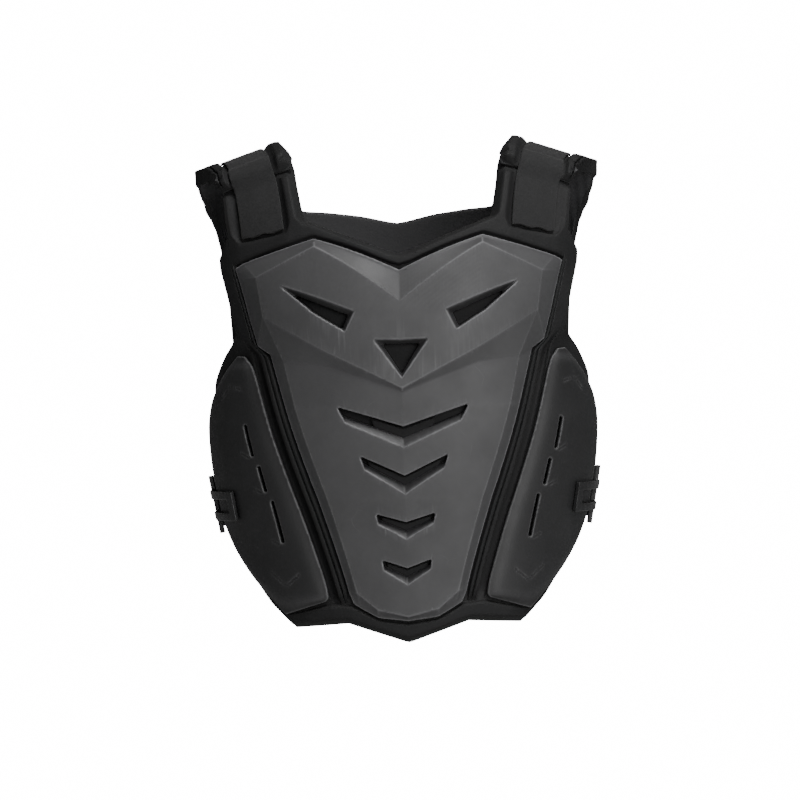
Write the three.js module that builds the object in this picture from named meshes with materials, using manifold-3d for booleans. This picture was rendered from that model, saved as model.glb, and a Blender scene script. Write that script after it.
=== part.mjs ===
// Motocross chest protector: a moulded chest plate and two side plates on a foam front pad, a back pad
// whose shoulder wings come over the crest, hook-and-loop shoulder straps, and elastic side straps on
// hook-in buckles. It stands as worn, with nothing inside it.
//
// Millimetres. +X is to the right as seen from the front, -Y is the front and +Z is up. The origin is
// midway between the undersides of the two shoulder wings.
//
// Every panel is laid out on one torso form. A point of a panel is u, the distance round the form from the
// centre line, v, the height along it above the armpits, and t, the distance out from its surface. A node
// of a panel has the t of its outer face and b, the distance of its inner face.

import * as THREE from "three";
import Module from "manifold-3d";
import { mergeVertices } from "three/addons/utils/BufferGeometryUtils.js";

// Torso form
const CHEST_HALF_WIDTH = 151;
const CHEST_DEPTH = 105;
const BACK_DEPTH = 98;
const CHEST_SQUARENESS = 2.3;
const ARMPIT_Z = -130;
const CREST_RISE = 140;
const CREST_LENGTH = 175;
const CREST_X = 93;
const CREST_FLAT = 60;
const SHOULDER_FALL = 0.372;
const SHOULDER_SPREAD = 0.26;
const WAIST_START = 85;
const WAIST_LENGTH = 165;
const WAIST_TAPER = 0.14;
const BELLY_TAPER = 0.07;

// Foam pads
const FOAM = 8.5;
const FOAM_LIP = 4;
const LIP_WIDTH = 4;
const RIB_RISE = 4;
const RIB_SLOPE = 1;
const INNER_RIB_WIDTH = 2.4;
const FINE_GROOVE = 0.8;
const FINE_GROOVE_DEPTH = 3;
const GROOVE_WIDTH = 7;
const GROOVE_FLOOR = 4.5;

// Chest plate
const PLATE_WALL = 3.2;
const PLATE_HALF_WIDTH = 135;
const PLATE_TOP = 45;
const PLATE_LENGTH = 296;
const PLATE_LIFT = 9;
const VENT_DEPTH = 5;
const VENT_COLLAR = 2.5;
const CHEVRON_LEDGE = 0.5;

// Side plates
const PLATE_SPACING = 18;
const SIDE_TOP = -30;
const SIDE_LENGTH = 215;
const SIDE_REACH = 196;
const SIDE_LIFT = 3.5;
const SIDE_BEVEL = 8;
const SIDE_BEVEL_LIMIT = 0.4;
const SLOT_WIDTH = 3;
const SLOT_INSET = 20;

// Back plate
const BACK_PLATE_HALF_WIDTH = 95;
const BACK_PLATE_TOP = 30;
const BACK_PLATE_LENGTH = 230;
const BACK_PLATE_LIFT = 6;
const BACK_PLATE_BEVEL = 9;

// Pad outlines
const SEAT_GAP = 0.8;
const RIM_GAP = 1.6;
const NECK_BORDER = 12;
const HEM_BORDER = 18;
const HEM_HALF_WIDTH = 108;
const WING_PAD_REACH = 210;
const TAB_INNER = 74;
const TAB_WIDTH = 66;
const TAB_BORDER = 12.5;
const TAB_LENGTH = 73;
const BACK_PAD_BOTTOM = -240;
const BACK_PAD_REACH = 166;
const COLLAR_HEIGHT = 61;
const COLLAR_RISE = 19;
const WING_ROOT = 100;
const WING_OVERLAP = 14;
const WING_WALL = 4.5;
const WING_RIB_RISE = 4.5;
const WING_BORDER = 9.5;
const WING_END_RAMP = 12;

// Straps and buckles
const STRAP_WIDTH = 38;
const STRAP_WALL = 2;
const STRAP_TAIL = 9.5;
const STRAP_BACK_GAP = 8;
const STRAP_SIDE_GAP = 2;
const STRAP_GAP = 0.5;
const HOOK_U = 146;
const HOOK_V = -153;
const HOOK_HEIGHT = 24;
const HOOK_WIDTH = 7;
const HOOK_REACH = 56;
const HOOK_LIFT = 0.9;
const HOOK_WALL = 3.4;
const ARM_HEIGHT = 6.5;
const BAR_HEIGHT = 48;
const BAR_WIDTH = 5;
const BAR_LIFT = 2.3;
const ELASTIC_WIDTH = 38;
const ELASTIC_END = 118;

// Mesh fineness
const PLATE_STEP = 30;
const VENT_STEP = 30;
const BUCKLE_STEP = 15;
const FOAM_STEP = 45;
const STRAP_STEP = 16;
const SECTION_STEPS = 720;
const NORMAL_STEP = 0.5;
const MERGE_DISTANCE = 1e-4;

const FRONT = -1;
const BACK = 1;
const RIM = FOAM + SEAT_GAP + PLATE_WALL;
const RIB_TOP = FOAM + RIB_RISE;
const TAB_TOP = PLATE_TOP + TAB_LENGTH;
const WING_FRONT = TAB_TOP - WING_OVERLAP;

const { clamp, lerp, smoothstep } = THREE.MathUtils;
const wasm = await Module();
wasm.setup();

const materials = {
  plate: new THREE.MeshStandardMaterial({ color: 0x55565a, roughness: 0.5, metalness: 0 }),
  sidePlate: new THREE.MeshStandardMaterial({ color: 0x36373a, roughness: 0.45, metalness: 0 }),
  foam: new THREE.MeshStandardMaterial({ color: 0x1d1d1f, roughness: 0.85, metalness: 0 }),
  strap: new THREE.MeshStandardMaterial({ color: 0x303032, roughness: 0.95, metalness: 0 }),
  elastic: new THREE.MeshStandardMaterial({ color: 0x161617, roughness: 0.9, metalness: 0 }),
  buckle: new THREE.MeshStandardMaterial({ color: 0x232325, roughness: 0.4, metalness: 0 }),
};

// The level section of the torso is a superellipse. Each entry has the distance round it from the front
// centre, and the shares of the half width and of the depth that are reached there.
function sectionTable() {
  const entries = [];
  let distance = 0;
  let last = new THREE.Vector2(0, CHEST_DEPTH);
  for (let step = 0; step <= SECTION_STEPS; step += 1) {
    const angle = (Math.PI * step) / SECTION_STEPS;
    const across = Math.sin(angle);
    const ahead = Math.cos(angle);
    const wide = Math.abs(across / CHEST_HALF_WIDTH) ** CHEST_SQUARENESS;
    const deep = Math.abs(ahead / CHEST_DEPTH) ** CHEST_SQUARENESS;
    const radius = (wide + deep) ** (-1 / CHEST_SQUARENESS);
    const point = new THREE.Vector2(across * radius, ahead * radius);
    distance += point.distanceTo(last);
    entries.push({ distance, across: point.x / CHEST_HALF_WIDTH, ahead: point.y / CHEST_DEPTH });
    last = point;
  }
  return entries;
}

const section = sectionTable();
const QUARTER = section[SECTION_STEPS / 2].distance;

function sectionAt(u) {
  const distance = Math.abs(u);
  const next = section.findIndex((entry) => entry.distance > distance);
  const upper = section[next < 1 ? SECTION_STEPS : next];
  const lower = section[next < 1 ? SECTION_STEPS - 1 : next - 1];
  const share = (distance - lower.distance) / (upper.distance - lower.distance);
  return {
    across: Math.sign(u) * lerp(lower.across, upper.across, share),
    ahead: lerp(lower.ahead, upper.ahead, share),
  };
}

// How much wider the form is at the height v than at the armpits
function spreadAt(v) {
  const turn = (Math.max(v, 0) / CREST_LENGTH) * (Math.PI / 2);
  return 1 + SHOULDER_SPREAD * (1 - Math.abs(Math.cos(turn)));
}

function torsoPoint(face, u, v) {
  const { across, ahead } = sectionAt(u);
  const depth = face === FRONT ? CHEST_DEPTH : BACK_DEPTH;
  const waist = smoothstep(-v, WAIST_START, WAIST_START + WAIST_LENGTH);
  const x = CHEST_HALF_WIDTH * (1 - WAIST_TAPER * waist) * spreadAt(v) * across;
  if (v <= 0) {
    return new THREE.Vector3(x, face * depth * (1 - BELLY_TAPER * waist) * ahead, ARMPIT_Z + v);
  }
  const turn = (v / CREST_LENGTH) * (Math.PI / 2);
  const beyond = face === FRONT ? BACK_DEPTH : CHEST_DEPTH;
  const reach = turn < Math.PI / 2 ? depth : beyond;
  const fall = SHOULDER_FALL * (Math.hypot(x, CREST_FLAT) - Math.hypot(CREST_X, CREST_FLAT));
  return new THREE.Vector3(
    x,
    face * reach * ahead * Math.cos(turn),
    ARMPIT_Z + (CREST_RISE - fall) * Math.sin(turn),
  );
}

function torsoNormal(face, u, v) {
  const alongU = torsoPoint(face, u + NORMAL_STEP, v).sub(torsoPoint(face, u - NORMAL_STEP, v));
  const alongV = torsoPoint(face, u, v + NORMAL_STEP).sub(torsoPoint(face, u, v - NORMAL_STEP));
  return alongU.cross(alongV).normalize().multiplyScalar(-face);
}

const onFace = (face) => (u, v, t) => torsoPoint(face, u, v).addScaledVector(torsoNormal(face, u, v), t);
const onFront = onFace(FRONT);
const onBack = onFace(BACK);

// Round the whole torso, with u running on past the side to the back
function onGirdle(u, v, t) {
  const past = Math.abs(u) > QUARTER;
  return past ? onBack(Math.sign(u) * (2 * QUARTER - Math.abs(u)), v, t) : onFront(u, v, t);
}

// A node's inner face lies under its outer face, unless innerU and innerV put it somewhere else
const node = (u, v, t, b, innerU = u, innerV = v) => ({ u, v, t, b, innerU, innerV });
const mix = (first, second, share) =>
  Object.fromEntries(Object.keys(first).map((name) => [name, lerp(first[name], second[name], share)]));
const spanOf = (first, second) => (first && second ? Math.hypot(first.u - second.u, first.v - second.v) : 0);
const transposed = (rows) => rows[0].map((_, column) => rows.map((row) => row[column]));

// Adds rows between those given, so that neighbours are no more than a step apart
function withRows(rows, step) {
  return rows.flatMap((row, index) => {
    const next = rows[index + 1];
    if (!next) return [row];
    const span = Math.max(...row.map((_, column) => spanOf(row[column], next[column])));
    const count = Math.max(1, Math.ceil(span / step));
    return Array.from({ length: count }, (_, part) =>
      row.map((first, column) => {
        const second = next[column];
        if (part === 0) return first;
        return first && second ? mix(first, second, part / count) : null;
      }),
    );
  });
}

const refined = (rows, step) => transposed(withRows(transposed(withRows(rows, step)), step));

// A half panel and its mirror image as one panel, and a panel moved to the other side
const mirrored = (point) => point && { ...point, u: -point.u, innerU: -point.innerU };
const doubled = (rows) => rows.map((row) => [...row.slice(1).reverse().map(mirrored), ...row]);
const flipped = (rows) => rows.map((row) => row.map(mirrored));

// The distance out of a half panel's outer face at any point under it
function heightOn(rows) {
  const pieces = [];
  for (let r = 0; r < rows.length - 1; r += 1) {
    for (let c = 0; c < rows[r].length - 1; c += 1) {
      const [first, second] = rows[r].slice(c, c + 2);
      const [fourth, third] = rows[r + 1].slice(c, c + 2);
      pieces.push([first, second, third], [first, third, fourth]);
    }
  }
  const flat = (point) => new THREE.Vector3(point.u, point.v, 0);
  const triangles = pieces.map((corners) => {
    const shape = new THREE.Triangle(...corners.map(flat));
    return { corners, shape };
  });
  return (u, v) => {
    const target = new THREE.Vector3(Math.abs(u), v, 0);
    let best = null;
    for (const { corners, shape } of triangles) {
      const near = shape.closestPointToPoint(target, new THREE.Vector3());
      const miss = near.distanceTo(target);
      if (!best || miss < best.miss) best = { miss, near, corners, shape };
    }
    const weights = best.shape.getBarycoord(best.near, new THREE.Vector3());
    const heights = new THREE.Vector3(...best.corners.map(({ t }) => t));
    return weights.dot(heights);
  };
}

// A closed solid between the outer and the inner face of a grid of nodes. A cell with a missing node is
// left open.
function panelSolid(place, rows) {
  const positions = [];
  const triangles = [];
  const numbers = rows.map((row) =>
    row.map((point) => {
      if (!point) return null;
      const outerPoint = place(point.u, point.v, point.t);
      const innerPoint = place(point.innerU, point.innerV, point.b);
      positions.push(...outerPoint.toArray(), ...innerPoint.toArray());
      return positions.length / 3 - 2;
    }),
  );
  const corners = (r, c) => {
    const found = [numbers[r]?.[c], numbers[r]?.[c + 1], numbers[r + 1]?.[c + 1], numbers[r + 1]?.[c]];
    return found.every((number) => Number.isInteger(number)) ? found : null;
  };
  const quad = (first, second, third, fourth, turned) => {
    if (turned) triangles.push(first, second, fourth, second, third, fourth);
    else triangles.push(first, second, third, first, third, fourth);
  };
  rows.forEach((row, r) =>
    row.forEach((point, c) => {
      const cell = corners(r, c);
      if (!cell) return;
      const [first, second, third, fourth] = cell;
      const turned = point.u + row[c + 1].u < 0;
      quad(first, second, third, fourth, turned);
      quad(first + 1, fourth + 1, third + 1, second + 1, turned);
      if (!corners(r - 1, c)) quad(second, first, first + 1, second + 1, false);
      if (!corners(r, c + 1)) quad(third, second, second + 1, third + 1, false);
      if (!corners(r + 1, c)) quad(fourth, third, third + 1, fourth + 1, false);
      if (!corners(r, c - 1)) quad(first, fourth, fourth + 1, first + 1, false);
    }),
  );
  return solidFrom(positions, triangles);
}

function solidFrom(positions, triangles) {
  const corner = (number) => new THREE.Vector3().fromArray(positions, 3 * number);
  let volume = 0;
  for (let at = 0; at < triangles.length; at += 3) {
    const [first, second, third] = triangles.slice(at, at + 3).map(corner);
    volume += first.dot(second.cross(third));
  }
  if (volume < 0) triangles.reverse();
  let geometry = new THREE.BufferGeometry();
  geometry.setAttribute("position", new THREE.Float32BufferAttribute(positions, 3));
  geometry.setIndex(triangles);
  geometry = mergeVertices(geometry, MERGE_DISTANCE);
  const mesh = new wasm.Mesh({
    numProp: 3,
    vertProperties: new Float32Array(geometry.attributes.position.array),
    triVerts: new Uint32Array(geometry.index.array),
  });
  return new wasm.Manifold(mesh);
}

function meshOf(name, solid, material) {
  const { numProp, vertProperties, triVerts } = solid.getMesh();
  const geometry = new THREE.BufferGeometry();
  geometry.setAttribute("position", new THREE.BufferAttribute(new Float32Array(vertProperties), numProp));
  geometry.setIndex(new THREE.BufferAttribute(new Uint32Array(triVerts), 1));
  geometry.computeVertexNormals();
  const mesh = new THREE.Mesh(geometry, material);
  mesh.name = name;
  return mesh;
}

// Chest plate. A row for each line that crosses it: the top edge, the foot of the top bevel, the brow, the
// ridge, the foot of its step, the ribcage, the stomach, the low bevel and the low edge. Each station is its
// share of the half width, its share of the length below the peak, and its share of the lift above the rim.
const PLATE_LINES = [
  {
    centre: [0, 0.077, 0], middle: [0.481, 0.001, 0],
    side: [0.93, 0.029, 0], edge: [0.99, 0.037, 0],
  },
  {
    centre: [0, 0.115, 0.62], middle: [0.47, 0.02, 0.5],
    side: [0.819, 0.063, 0.5], edge: [0.973, 0.063, 0],
  },
  {
    centre: [0, 0.233, 0.82], middle: [0.45, 0.12, 0.66],
    side: [0.803, 0.11, 0.5], edge: [0.928, 0.125, 0],
  },
  {
    centre: [0, 0.363, 1], middle: [0.43, 0.256, 0.8],
    side: [0.784, 0.156, 0.55], edge: [0.85, 0.238, 0],
  },
  {
    centre: [0, 0.372, 0.8], middle: [0.43, 0.297, 0.58],
    side: [0.672, 0.283, 0.42], edge: [0.77, 0.262, 0],
  },
  {
    centre: [0, 0.42, 0.74], middle: [0.37, 0.415, 0.54],
    side: [0.61, 0.413, 0.42], edge: [0.683, 0.413, 0],
  },
  {
    centre: [0, 0.659, 0.62], middle: [0.28, 0.659, 0.48],
    side: [0.46, 0.659, 0.38], edge: [0.529, 0.659, 0],
  },
  {
    centre: [0, 0.986, 0.35], middle: [0.2, 0.965, 0.33],
    side: [0.33, 0.916, 0.3], edge: [0.388, 0.918, 0],
  },
  {
    centre: [0, 1, 0], middle: [0.2, 0.989, 0],
    side: [0.305, 0.964, 0], edge: [0.362, 0.948, 0],
  },
];

function plateNode([across, down, lift]) {
  const t = RIM + PLATE_LIFT * lift;
  return node(PLATE_HALF_WIDTH * across, PLATE_TOP - PLATE_LENGTH * down, t, t - PLATE_WALL);
}

const STATIONS = ["centre", "middle", "side", "edge"];
const plateLines = PLATE_LINES.map((line) => STATIONS.map((name) => plateNode(line[name])));
const plateRows = refined(plateLines, PLATE_STEP);
const plateHeight = heightOn(plateRows);

// The chest plate's side edge at a height, and its top edge at a distance from the centre line
function alongLine(points, from, to, value) {
  const next = points.slice(1, -1).findIndex((point) => point[from] >= value) + 1 || points.length - 1;
  const [first, second] = [points[next - 1], points[next]];
  const share = clamp((value - first[from]) / (second[from] - first[from]), 0, 1);
  return lerp(first[to], second[to], share);
}

const sideEdgePoints = plateLines.map((line) => line[3]).reverse();
const plateEdge = (v) => alongLine(sideEdgePoints, "v", "u", v);
const plateTop = (u) => alongLine(plateLines[0], "u", "v", u);

// Vents. Each is a strip between an upper and a lower line of points, as shares like those of the plate.
const CHEVRONS = [
  { tip: [0.373, 0.41], corner: [0.32, 0.458], top: 0.467, bottom: 0.527 },
  { tip: [0.253, 0.543], corner: [0.227, 0.583], top: 0.598, bottom: 0.652 },
  { tip: [0.181, 0.7], corner: [0.166, 0.731], top: 0.724, bottom: 0.774 },
  { tip: [0.156, 0.827], corner: [0.148, 0.858], top: 0.851, bottom: 0.901 },
];
const EYE = {
  rim: { upper: [[0.249, 0.15], [0.685, 0.0895]], lower: [[0.307, 0.208], [0.683, 0.0925]] },
  hole: { upper: [[0.298, 0.159], [0.6, 0.115]], lower: [[0.332, 0.198], [0.602, 0.119]] },
};
const overturned = (points) => points.map(([across, down]) => [-across, down]).reverse();
const mirroredLine = (points) => [...overturned(points.slice(1)), ...points];
const evenStrip = (upper, lower) => ({ upper: mirroredLine(upper), lower: mirroredLine(lower) });
const TRIANGLE = {
  rim: evenStrip([[0, 0.229], [0.164, 0.226]], [[0, 0.337], [0.162, 0.231]]),
  hole: evenStrip([[0, 0.243], [0.104, 0.242]], [[0, 0.325], [0.1, 0.249]]),
};

function chevronVent({ tip, corner, top, bottom }) {
  const ledgeCorner = [lerp(corner[0], tip[0], CHEVRON_LEDGE), lerp(corner[1], tip[1], CHEVRON_LEDGE)];
  const upper = [[0, top], tip];
  return {
    rim: evenStrip(upper, [[0, bottom], corner]),
    hole: evenStrip(upper, [[0, lerp(bottom, top, CHEVRON_LEDGE)], ledgeCorner]),
  };
}

// A solid between an outer strip, at a distance out from the plate's face, and an inner strip. Each strip
// can be widened on every side.
function ventSolid(outer, inner, outward, inward, widen = 0) {
  const spot = ([share, down], row, column, last) => {
    const aside = column === 0 ? -widen : column === last ? widen : 0;
    const above = row === 0 ? widen : -widen;
    return [PLATE_HALF_WIDTH * share + aside, PLATE_TOP - PLATE_LENGTH * down + above];
  };
  const rows = ["upper", "lower"].map((line, row) =>
    outer[line].map((point, column, { length }) => {
      const [u, v] = spot(point, row, column, length - 1);
      const [innerU, innerV] = spot(inner[line][column], row, column, length - 1);
      return node(u, v, 0, 0, innerU, innerV);
    }),
  );
  const placed = refined(rows, VENT_STEP).map((row) =>
    row.map((point) => {
      const t = plateHeight(point.u, point.v) + outward;
      return { ...point, t, b: inward(plateHeight(point.innerU, point.innerV)) };
    }),
  );
  return panelSolid(onFront, placed);
}

const ventCutters = ({ rim, hole }) => [
  ventSolid(hole, hole, RIB_SLOPE - VENT_DEPTH, () => FOAM),
  ventSolid(rim, hole, RIB_SLOPE, (face) => face - VENT_DEPTH),
];
const ventCollar = ({ rim }) => ventSolid(rim, rim, -RIB_SLOPE, () => FOAM + 2 * SEAT_GAP, VENT_COLLAR);

function chestPlate() {
  const turnStrip = ({ upper, lower }) => ({ upper: overturned(upper), lower: overturned(lower) });
  const mirroredEye = { rim: turnStrip(EYE.rim), hole: turnStrip(EYE.hole) };
  const vents = [EYE, mirroredEye, TRIANGLE, ...CHEVRONS.map(chevronVent)];
  let solid = panelSolid(onFront, doubled(plateRows));
  for (const vent of vents) solid = solid.add(ventCollar(vent));
  for (const vent of vents) {
    for (const cutter of ventCutters(vent)) solid = solid.subtract(cutter);
  }
  return solid;
}

// Side plate. A row for each section from its apex down, as shares of its length and of its reach. The
// inner edge runs beside the chest plate, and inset moves it outwards at the rounded corners, as a share of
// the bevel's width.
const SIDE_SECTIONS = [
  { inner: 0.014, outer: 0.01, reach: 0.689, inset: 0.75 },
  { inner: 0.044, outer: 0.05, reach: 0.742, inset: 0.13 },
  { inner: 0.093, outer: 0.099, reach: 0.806, inset: 0 },
  { inner: 0.167, outer: 0.184, reach: 0.912, inset: 0 },
  { inner: 0.27, outer: 0.27, reach: 0.974, inset: 0 },
  { inner: 0.442, outer: 0.442, reach: 1, inset: 0 },
  { inner: 0.628, outer: 0.642, reach: 0.969, inset: 0 },
  { inner: 0.767, outer: 0.753, reach: 0.872, inset: 0 },
  { inner: 0.888, outer: 0.884, reach: 0.719, inset: 0 },
  { inner: 0.934, outer: 0.96, reach: 0.62, inset: 0.25 },
  { inner: 0.947, outer: 0.998, reach: 0.575, inset: 0.75 },
];
const sideInner = (v) => plateEdge(v) + PLATE_SPACING;

function sideRow({ inner, outer, reach, inset }, index) {
  const innerV = SIDE_TOP - SIDE_LENGTH * inner;
  const start = node(sideInner(innerV) + SIDE_BEVEL * inset, innerV, 0, 0);
  const end = node(SIDE_REACH * reach, SIDE_TOP - SIDE_LENGTH * outer, 0, 0);
  const width = spanOf(start, end);
  const bevel = Math.min(SIDE_BEVEL / width, SIDE_BEVEL_LIMIT);
  const atEnd = index === 0 || index === SIDE_SECTIONS.length - 1;
  return [0, bevel, 0.5, 1 - bevel, 1].map((share, column) => {
    const lift = atEnd || column === 0 || column === 4 ? 0 : SIDE_LIFT;
    const t = RIM + lift;
    return { ...mix(start, end, share), t, b: t - PLATE_WALL };
  });
}

const sideRows = refined(SIDE_SECTIONS.map(sideRow), PLATE_STEP);

// Slots. Each runs between two shares of the side plate's length, and drift is its share of the inset
// that its lower end lies further out.
const SLOTS = [
  { top: 0.273, bottom: 0.389, drift: 0.11 },
  { top: 0.426, bottom: 0.522, drift: 0.12 },
  { top: 0.556, bottom: 0.717, drift: 0.22 },
];

function slotCutter({ top, bottom, drift }) {
  const rows = [top, bottom].map((share, end) => {
    const v = SIDE_TOP - SIDE_LENGTH * share;
    const u = sideInner(v) + SLOT_INSET * (1 + end * drift);
    const outside = RIM + 2 * SIDE_LIFT;
    return [u - SLOT_WIDTH / 2, u + SLOT_WIDTH / 2].map((edge) => node(edge, v, outside, FOAM));
  });
  return panelSolid(onFront, refined(rows, PLATE_STEP));
}

function sidePlate(turn) {
  let solid = panelSolid(onFront, turn(sideRows));
  for (const slot of SLOTS) {
    const cutter = slotCutter(slot);
    solid = solid.subtract(turn === flipped ? cutter.mirror([1, 0, 0]) : cutter);
  }
  return solid;
}

// Front pad. Its columns under the chest plate are shares of the plate's edge, and those beyond it lie in
// the border between the plate and the pad's own edge.
const TAB_MIDDLE = TAB_INNER + TAB_WIDTH / 2;
const TAB_OUTER = TAB_INNER + TAB_WIDTH;
const underColumns = [
  0,
  0.45 * TAB_INNER,
  0.88 * TAB_INNER,
  TAB_INNER,
  TAB_INNER + LIP_WIDTH,
  TAB_INNER + TAB_BORDER - LIP_WIDTH,
  TAB_INNER + TAB_BORDER,
  TAB_OUTER - TAB_BORDER,
].map((u) => u / plateEdge(PLATE_TOP));
const TAB_FIRST = 3;
const RECESS_FIRST = 6;

// A row for each section of the pad's body, from the hem up. inner is the height at the chest plate's edge
// and outer that at the pad's own edge, as shares of the plate's length below its peak. reach is a share
// of the wing pads' reach, and groove a share of the depth of the groove beside the side plate.
const PAD_SECTIONS = [
  { inner: 0.915, outer: 0.949, reach: 0.648, groove: 1 },
  { inner: 0.855, outer: 0.885, reach: 0.738, groove: 1 },
  { inner: 0.78, outer: 0.81, reach: 0.85, groove: 1 },
  { inner: 0.69, outer: 0.725, reach: 0.94, groove: 1 },
  { inner: 0.55, outer: 0.57, reach: 1, groove: 1 },
  { inner: 0.41, outer: 0.405, reach: 0.985, groove: 1 },
  { inner: 0.345, outer: 0.325, reach: 0.89, groove: 1 },
  { inner: 0.3, outer: 0.262, reach: 0.776, groove: 0.8 },
  { inner: 0.27, outer: 0.228, reach: 0.719, groove: 0.5 },
];

// The narrow border beside the upper part of the plate. border is its width as a share of the spacing of
// the plates.
const FLANK_SECTIONS = [
  { inner: 0.238, outer: 0.2, border: 1.33 },
  { inner: 0.15, outer: 0.12, border: 1.22 },
  { inner: 0.062, outer: 0.03, border: 1.22 },
];

const borderColumns = [
  { at: RIM_GAP, t: FOAM },
  { at: RIM_GAP + RIB_SLOPE, t: RIB_TOP },
  { at: RIM_GAP + RIB_SLOPE + INNER_RIB_WIDTH, t: RIB_TOP },
  { at: RIM_GAP + RIB_SLOPE + INNER_RIB_WIDTH + FINE_GROOVE, t: RIB_TOP - FINE_GROOVE_DEPTH },
  { at: RIM_GAP + RIB_SLOPE + INNER_RIB_WIDTH + 2 * FINE_GROOVE, t: RIB_TOP },
  { at: PLATE_SPACING - GROOVE_WIDTH - RIB_SLOPE, t: RIB_TOP },
];
const grooveColumns = [PLATE_SPACING - GROOVE_WIDTH, PLATE_SPACING + RIB_SLOPE];
const WING_SEAT = PLATE_SPACING + 2 * RIB_SLOPE;

function padRow({ inner, outer, reach, groove }) {
  const innerV = PLATE_TOP - PLATE_LENGTH * inner;
  const outerV = PLATE_TOP - PLATE_LENGTH * outer;
  const edge = plateEdge(innerV);
  const border = WING_PAD_REACH * reach - edge;
  const beyond = (at, t) => node(edge + at, lerp(innerV, outerV, at / border), t, 0);
  const under = underColumns.map((share) => node(edge * share, innerV, FOAM, 0));
  return [
    ...under,
    ...borderColumns.map(({ at, t }) => beyond(at, t)),
    ...grooveColumns.map((at) => beyond(at, lerp(FOAM, GROOVE_FLOOR, groove))),
    beyond(WING_SEAT, FOAM),
    beyond((WING_SEAT + border) / 2, FOAM),
    beyond(border - LIP_WIDTH, FOAM),
    beyond(border, FOAM_LIP),
  ];
}

// Columns outside the plate's edge: the border's, the groove's and the wing's four
const wideColumns = borderColumns.length + grooveColumns.length + 4;

function flankRow({ inner, outer, border: share }) {
  const border = PLATE_SPACING * share;
  const innerV = PLATE_TOP - PLATE_LENGTH * inner;
  const outerV = PLATE_TOP - PLATE_LENGTH * outer;
  const edge = plateEdge(innerV);
  const squeezed = border / (PLATE_SPACING + 3 * LIP_WIDTH);
  const under = underColumns.map((part) => node(edge * part, innerV, FOAM, 0));
  const outside = Array.from({ length: wideColumns }, (_, column) => {
    const known = borderColumns[column];
    const last = wideColumns - 1;
    const spare = (border - borderColumns.at(-1).at * squeezed) / (last - borderColumns.length + 1);
    const at = known ? known.at * squeezed : border - (last - column) * spare;
    const t = known ? known.t : RIB_TOP;
    return node(edge + at, lerp(innerV, outerV, at / border), column === last ? FOAM_LIP : t, 0);
  });
  return [...under, ...outside];
}

// Rows outside the plate's top edge. The neckline and the flank end here, and the tab goes on.
const NECK_LINE = [
  { u: 0, v: plateTop(0) + 0.83 * NECK_BORDER },
  { u: 0.55 * TAB_INNER, v: PLATE_TOP + 0.04 * NECK_BORDER },
  { u: TAB_INNER, v: PLATE_TOP + 1.3 * NECK_BORDER },
  { u: TAB_OUTER, v: PLATE_TOP + 1.4 * NECK_BORDER },
  { u: TAB_OUTER + 0.83 * NECK_BORDER, v: PLATE_TOP + 0.35 * NECK_BORDER },
  { u: TAB_OUTER + 2 * NECK_BORDER, v: PLATE_TOP - 0.6 * NECK_BORDER },
];

const neckAt = (u) => alongLine(NECK_LINE, "u", "v", u);
const TAB_LAST = underColumns.length + borderColumns.length - 1;
const topEdge = plateEdge(PLATE_TOP);
const flankRows = FLANK_SECTIONS.map(flankRow);

// How far each row outside the plate's top edge lies from it, and whether it is on the rib
function brimRow(outwards) {
  return flankRows.at(-1).map((below, column) => {
    const corner = column <= underColumns.length;
    const last = column === flankRows[0].length - 1;
    const under = column < underColumns.length;
    const u = under ? underColumns[column] * topEdge : below.u + topEdge - plateEdge(below.v);
    const start = plateTop(u);
    const v = outwards(start, neckAt(u));
    const seated = v - start < RIM_GAP + RIB_SLOPE / 2 && corner;
    return node(u, v, last ? FOAM_LIP : seated ? FOAM : RIB_TOP, 0);
  });
}

function tabHeight(column) {
  if (column === TAB_FIRST || column === TAB_LAST) return FOAM_LIP;
  const recessed = column >= RECESS_FIRST && column < underColumns.length;
  return recessed ? FOAM : RIB_TOP;
}

const onTab = (column) => column >= TAB_FIRST && column <= TAB_LAST;
const inRecess = (column) => onTab(column) && tabHeight(column) === FOAM;

// Where the brim ends: on the neckline, or where the strap's tail begins
const TAIL_START = PLATE_TOP + STRAP_TAIL - RIM_GAP;
const neckRow = brimRow((start, end) => end).map(({ u, v }, column) => {
  const place = column === TAB_LAST ? TAB_OUTER : u;
  return node(place, inRecess(column) ? TAIL_START : v, onTab(column) ? tabHeight(column) : FOAM_LIP, 0);
});
const brimTop = brimRow((start, end) => end - LIP_WIDTH).map((point, column) =>
  inRecess(column) ? node(point.u, TAIL_START - 2 * RIB_SLOPE, RIB_TOP, 0) : point,
);

// Rows of the shoulder tab above the neckline. Its end lies flat under the wing of the back pad.
const TAB_ROWS = [
  { v: WING_FRONT - 2 * LIP_WIDTH, flat: false },
  { v: WING_FRONT - LIP_WIDTH, flat: true },
  { v: TAB_TOP, flat: true },
];
const TAB_NARROWING = 0.1;

function tabRow({ v, flat }) {
  return neckRow.map((point, column) => {
    if (!onTab(column)) return null;
    const share = (v - PLATE_TOP) / TAB_LENGTH;
    const u = lerp(point.u, TAB_MIDDLE, TAB_NARROWING * share);
    const height = tabHeight(column);
    const t = flat ? Math.min(height, FOAM) : height;
    return node(u, v, t, 0);
  });
}

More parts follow.
